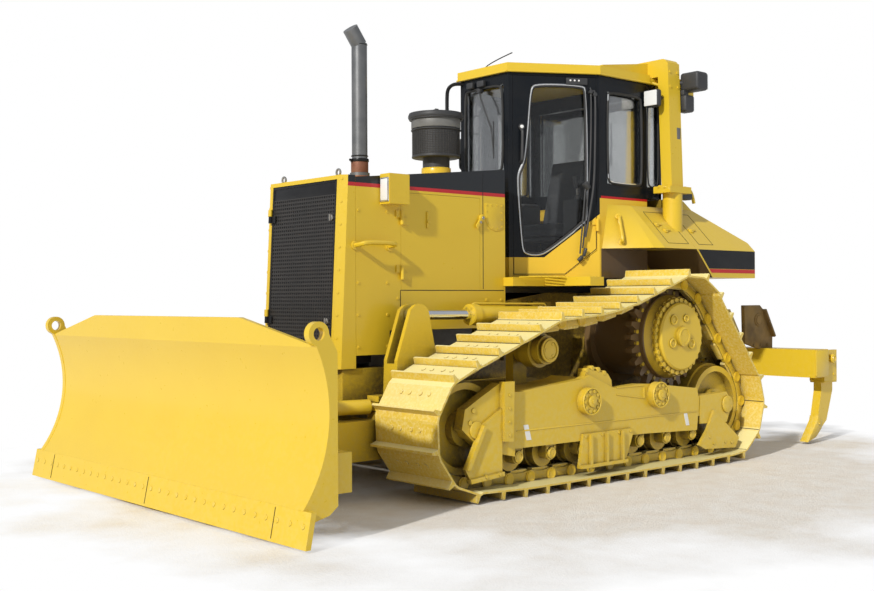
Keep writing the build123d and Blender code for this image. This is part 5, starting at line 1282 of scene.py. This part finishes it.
# %% Cylinder fittings
def gland(start, end, radius, body, name, pipe=True):
    """Dresses a barrel from its base to its gland: collars, bolts and a pipe on the upper side."""
    a, b = Vector(start), Vector(end)
    way = (b - a).normalized()
    collar = rod(tuple(b - way * 46), tuple(b + way * 3), radius + 7, 4, 32)
    band = rod(tuple(a + way * 110), tuple(a + way * 134), radius + 4, 3, 32)
    made = [collar, band]
    up = Vector(UP) if abs(way.z) < 0.9 else Vector(AHEAD)
    side = way.cross(up).normalized()
    for k in range(6):
        angle = pi * k / 3
        spot = b + way * 3 + (side * cos(angle) + up * sin(angle)) * (radius - 8)
        made += copies(bolt(6, 6), [facing(tuple(spot), way)])
    if pipe:
        high = up * (radius + 15)
        run = [a + way * 60 + up * (radius - 4), a + way * 64 + high, a + way * 100 + high,
            b - way * 80 + high, b - way * 30 + high, b - way * 26 + up * (radius - 4)]
        made.append(bent_bar([tuple(p) for p in run], 8))
    return settle(name, made, PAINT_LOW, body)


for side, y in (("left", 565), ("right", -565)):
    gland((750, y, 1085), (1540, y, 1094.3), 58, "lift_barrels", side + "_lift_gland")
print("glands fitted")

# %% [markdown]
# The blade's wearing edge is bolted on in pieces, with flat-headed plow bolts and seams between the middle
# edges and the bits at both corners. The bolts find the leaning face by a ray from the front.

# %% Cutting edge bolts and seams
heads = []
for y0, y1, count in ((-1240, 1240, 26), (-1560, -1340, 3), (1340, 1560, 3)):
    heads += bolts_on("cutting_edges", row((4200, y0, 120), (4200, y1, 120), count), BACK, 15, 4)
print("plow bolts", len(heads))
settle("plow_bolts", heads, PAINT_LOW, "blade")
seams = []
for y in (-1310, 0, 1310):
    spots = [touch("cutting_edges", (4200, y, z), BACK) for z in (30, 100, 180)]
    spots = [spot for spot in spots if spot]
    for (a, _), (b, _) in zip(spots, spots[1:]):
        low = ((a.x - AXLE) * 1000 + 0.6, a.y * 1000, (a.z - GROUND) * 1000)
        high = ((b.x - AXLE) * 1000 + 0.6, b.y * 1000, (b.z - GROUND) * 1000)
        seams.append(rod(low, high, 2.4, 0, 6))
settle("edge_seams", seams, BLACK, "blade")
print("edge seams", len(seams))

# %% [markdown]
# The ripper's cross beam carries two lift towers, dark brown with painted shade, each with a flange down its
# rear edge. A pin with a raised head holds each shank, and the points at the shanks' feet are replaceable caps.

# %% Ripper fittings
SHANKS, PIN_X, PIN_Z = (-1000, 0, 1000), -2100, 692
tower = [(-1560, 1135), (-1793, 1135), (-1839, 1101), (-1980, 873), (-1977, 765), (-1790, 765), (-1570, 820)]
parts = [plate(tower, "y", 562, 598, 6), plate([(-1842, 1104), (-1985, 873), (-1965, 862), (-1824, 1090)], "y",
    530, 630, 4), ring_bar((-1760, 600, 1010), LEFT, 46, 9, 28), peg((-1760, 598, 1010), 14, 38, 3)]
parts += bolts([(-1700, 598, 800), (-1800, 598, 800), (-1900, 598, 800)], LEFT, 14, 9)
settle_pair("ripper_tower", parts, SHADOWED_YELLOW, ("ripper_beam", "ripper_beam"))
parts = []
for y in SHANKS:
    for way in (-1, 1):
        parts += [rod((PIN_X, y + way * 78, PIN_Z), (PIN_X, y + way * 100, PIN_Z), 38, 5),
            ring_bar((PIN_X, y + way * 100, PIN_Z), LEFT, 22, 4, 20)]
        parts += bolts([(PIN_X + dx, y + way * 67, 560) for dx in (-45, 45)], (0, way, 0), 12, 8)
    parts.append(block((-2196, y - 66, 492), (-1998, y + 66, 508), 5))
parts.append(plate([(-1800, 560), (-1800, 758), (-1814, 768), (-1986, 768), (-1997, 758), (-1997, 560),
    (-1986, 549), (-1814, 549)], "y", 1098, 1108, 4))
parts.append(mirrored(parts[-1]))
settle("ripper_pins", parts, PAINT, "ripper_beam")
tips = []
for y in SHANKS:
    tip = [(-1786, 18), (-1932, 184), (-1945, 225), (-2010, 190), (-2000, 118), (-1912, 50)]
    tips.append(plate(tip, "y", y - 39, y + 39, 4))
    tips.append(rod((-1962, y - 46, 156), (-1962, y + 46, 156), 12, 3))
settle("ripper_points", tips, PAINT_LOW, "ripper_beam")
for side, way in (("left", 1), ("right", -1)):
    gland((-740, way * 150, 1200), (-740 - 960 * 0.568, way * 150, 1200 - 560 * 0.568), 55, "ripper_barrels",
        side + "_ripper_gland")
parts = bolts([(-681, y, z) for y in (-330, -230, 230, 330) for z in (480, 700, 860, 1120)], BACK, 18, 14)
settle("ripper_mount_bolts", parts, PAINT)
print("ripper dressed")

# %% [markdown]
# The radiator guard and the cab roof get their bolts, and the roof its rain channel, a low rounded bar along
# its edges.

# %% Last bolts and the rain channel
parts = bolts_on("radiator_guard", [(3000, y, z) for y in (-392, 392) for z in range(820, 1960, 140)], BACK, 9,
    6)
parts += bolts_on("cab_roof", [(x, y, 3100) for x, y in ((-240, 520), (-240, -520), (240, 540), (240, -540),
    (800, 210), (800, -210))], DOWN, 10, 7)
settle("guard_face_bolts", parts, PAINT)
edge = [(874, 0), (874, 262), (272, 612), (-310, 612)]
channel = [rod((x0, y0, 2824), (x1, y1, 2824), 7, 0, 10) for (x0, y0), (x1, y1) in zip(edge, edge[1:])]
settle_pair("rain_channel", channel, PAINT)
print("last bolts set")

# %% [markdown]
# The last cell measures the dressed machine's box and prints its size.

# %% Measure
low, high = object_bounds()
print("dressed size", [round(b - a, 3) for a, b in zip(low, high)])
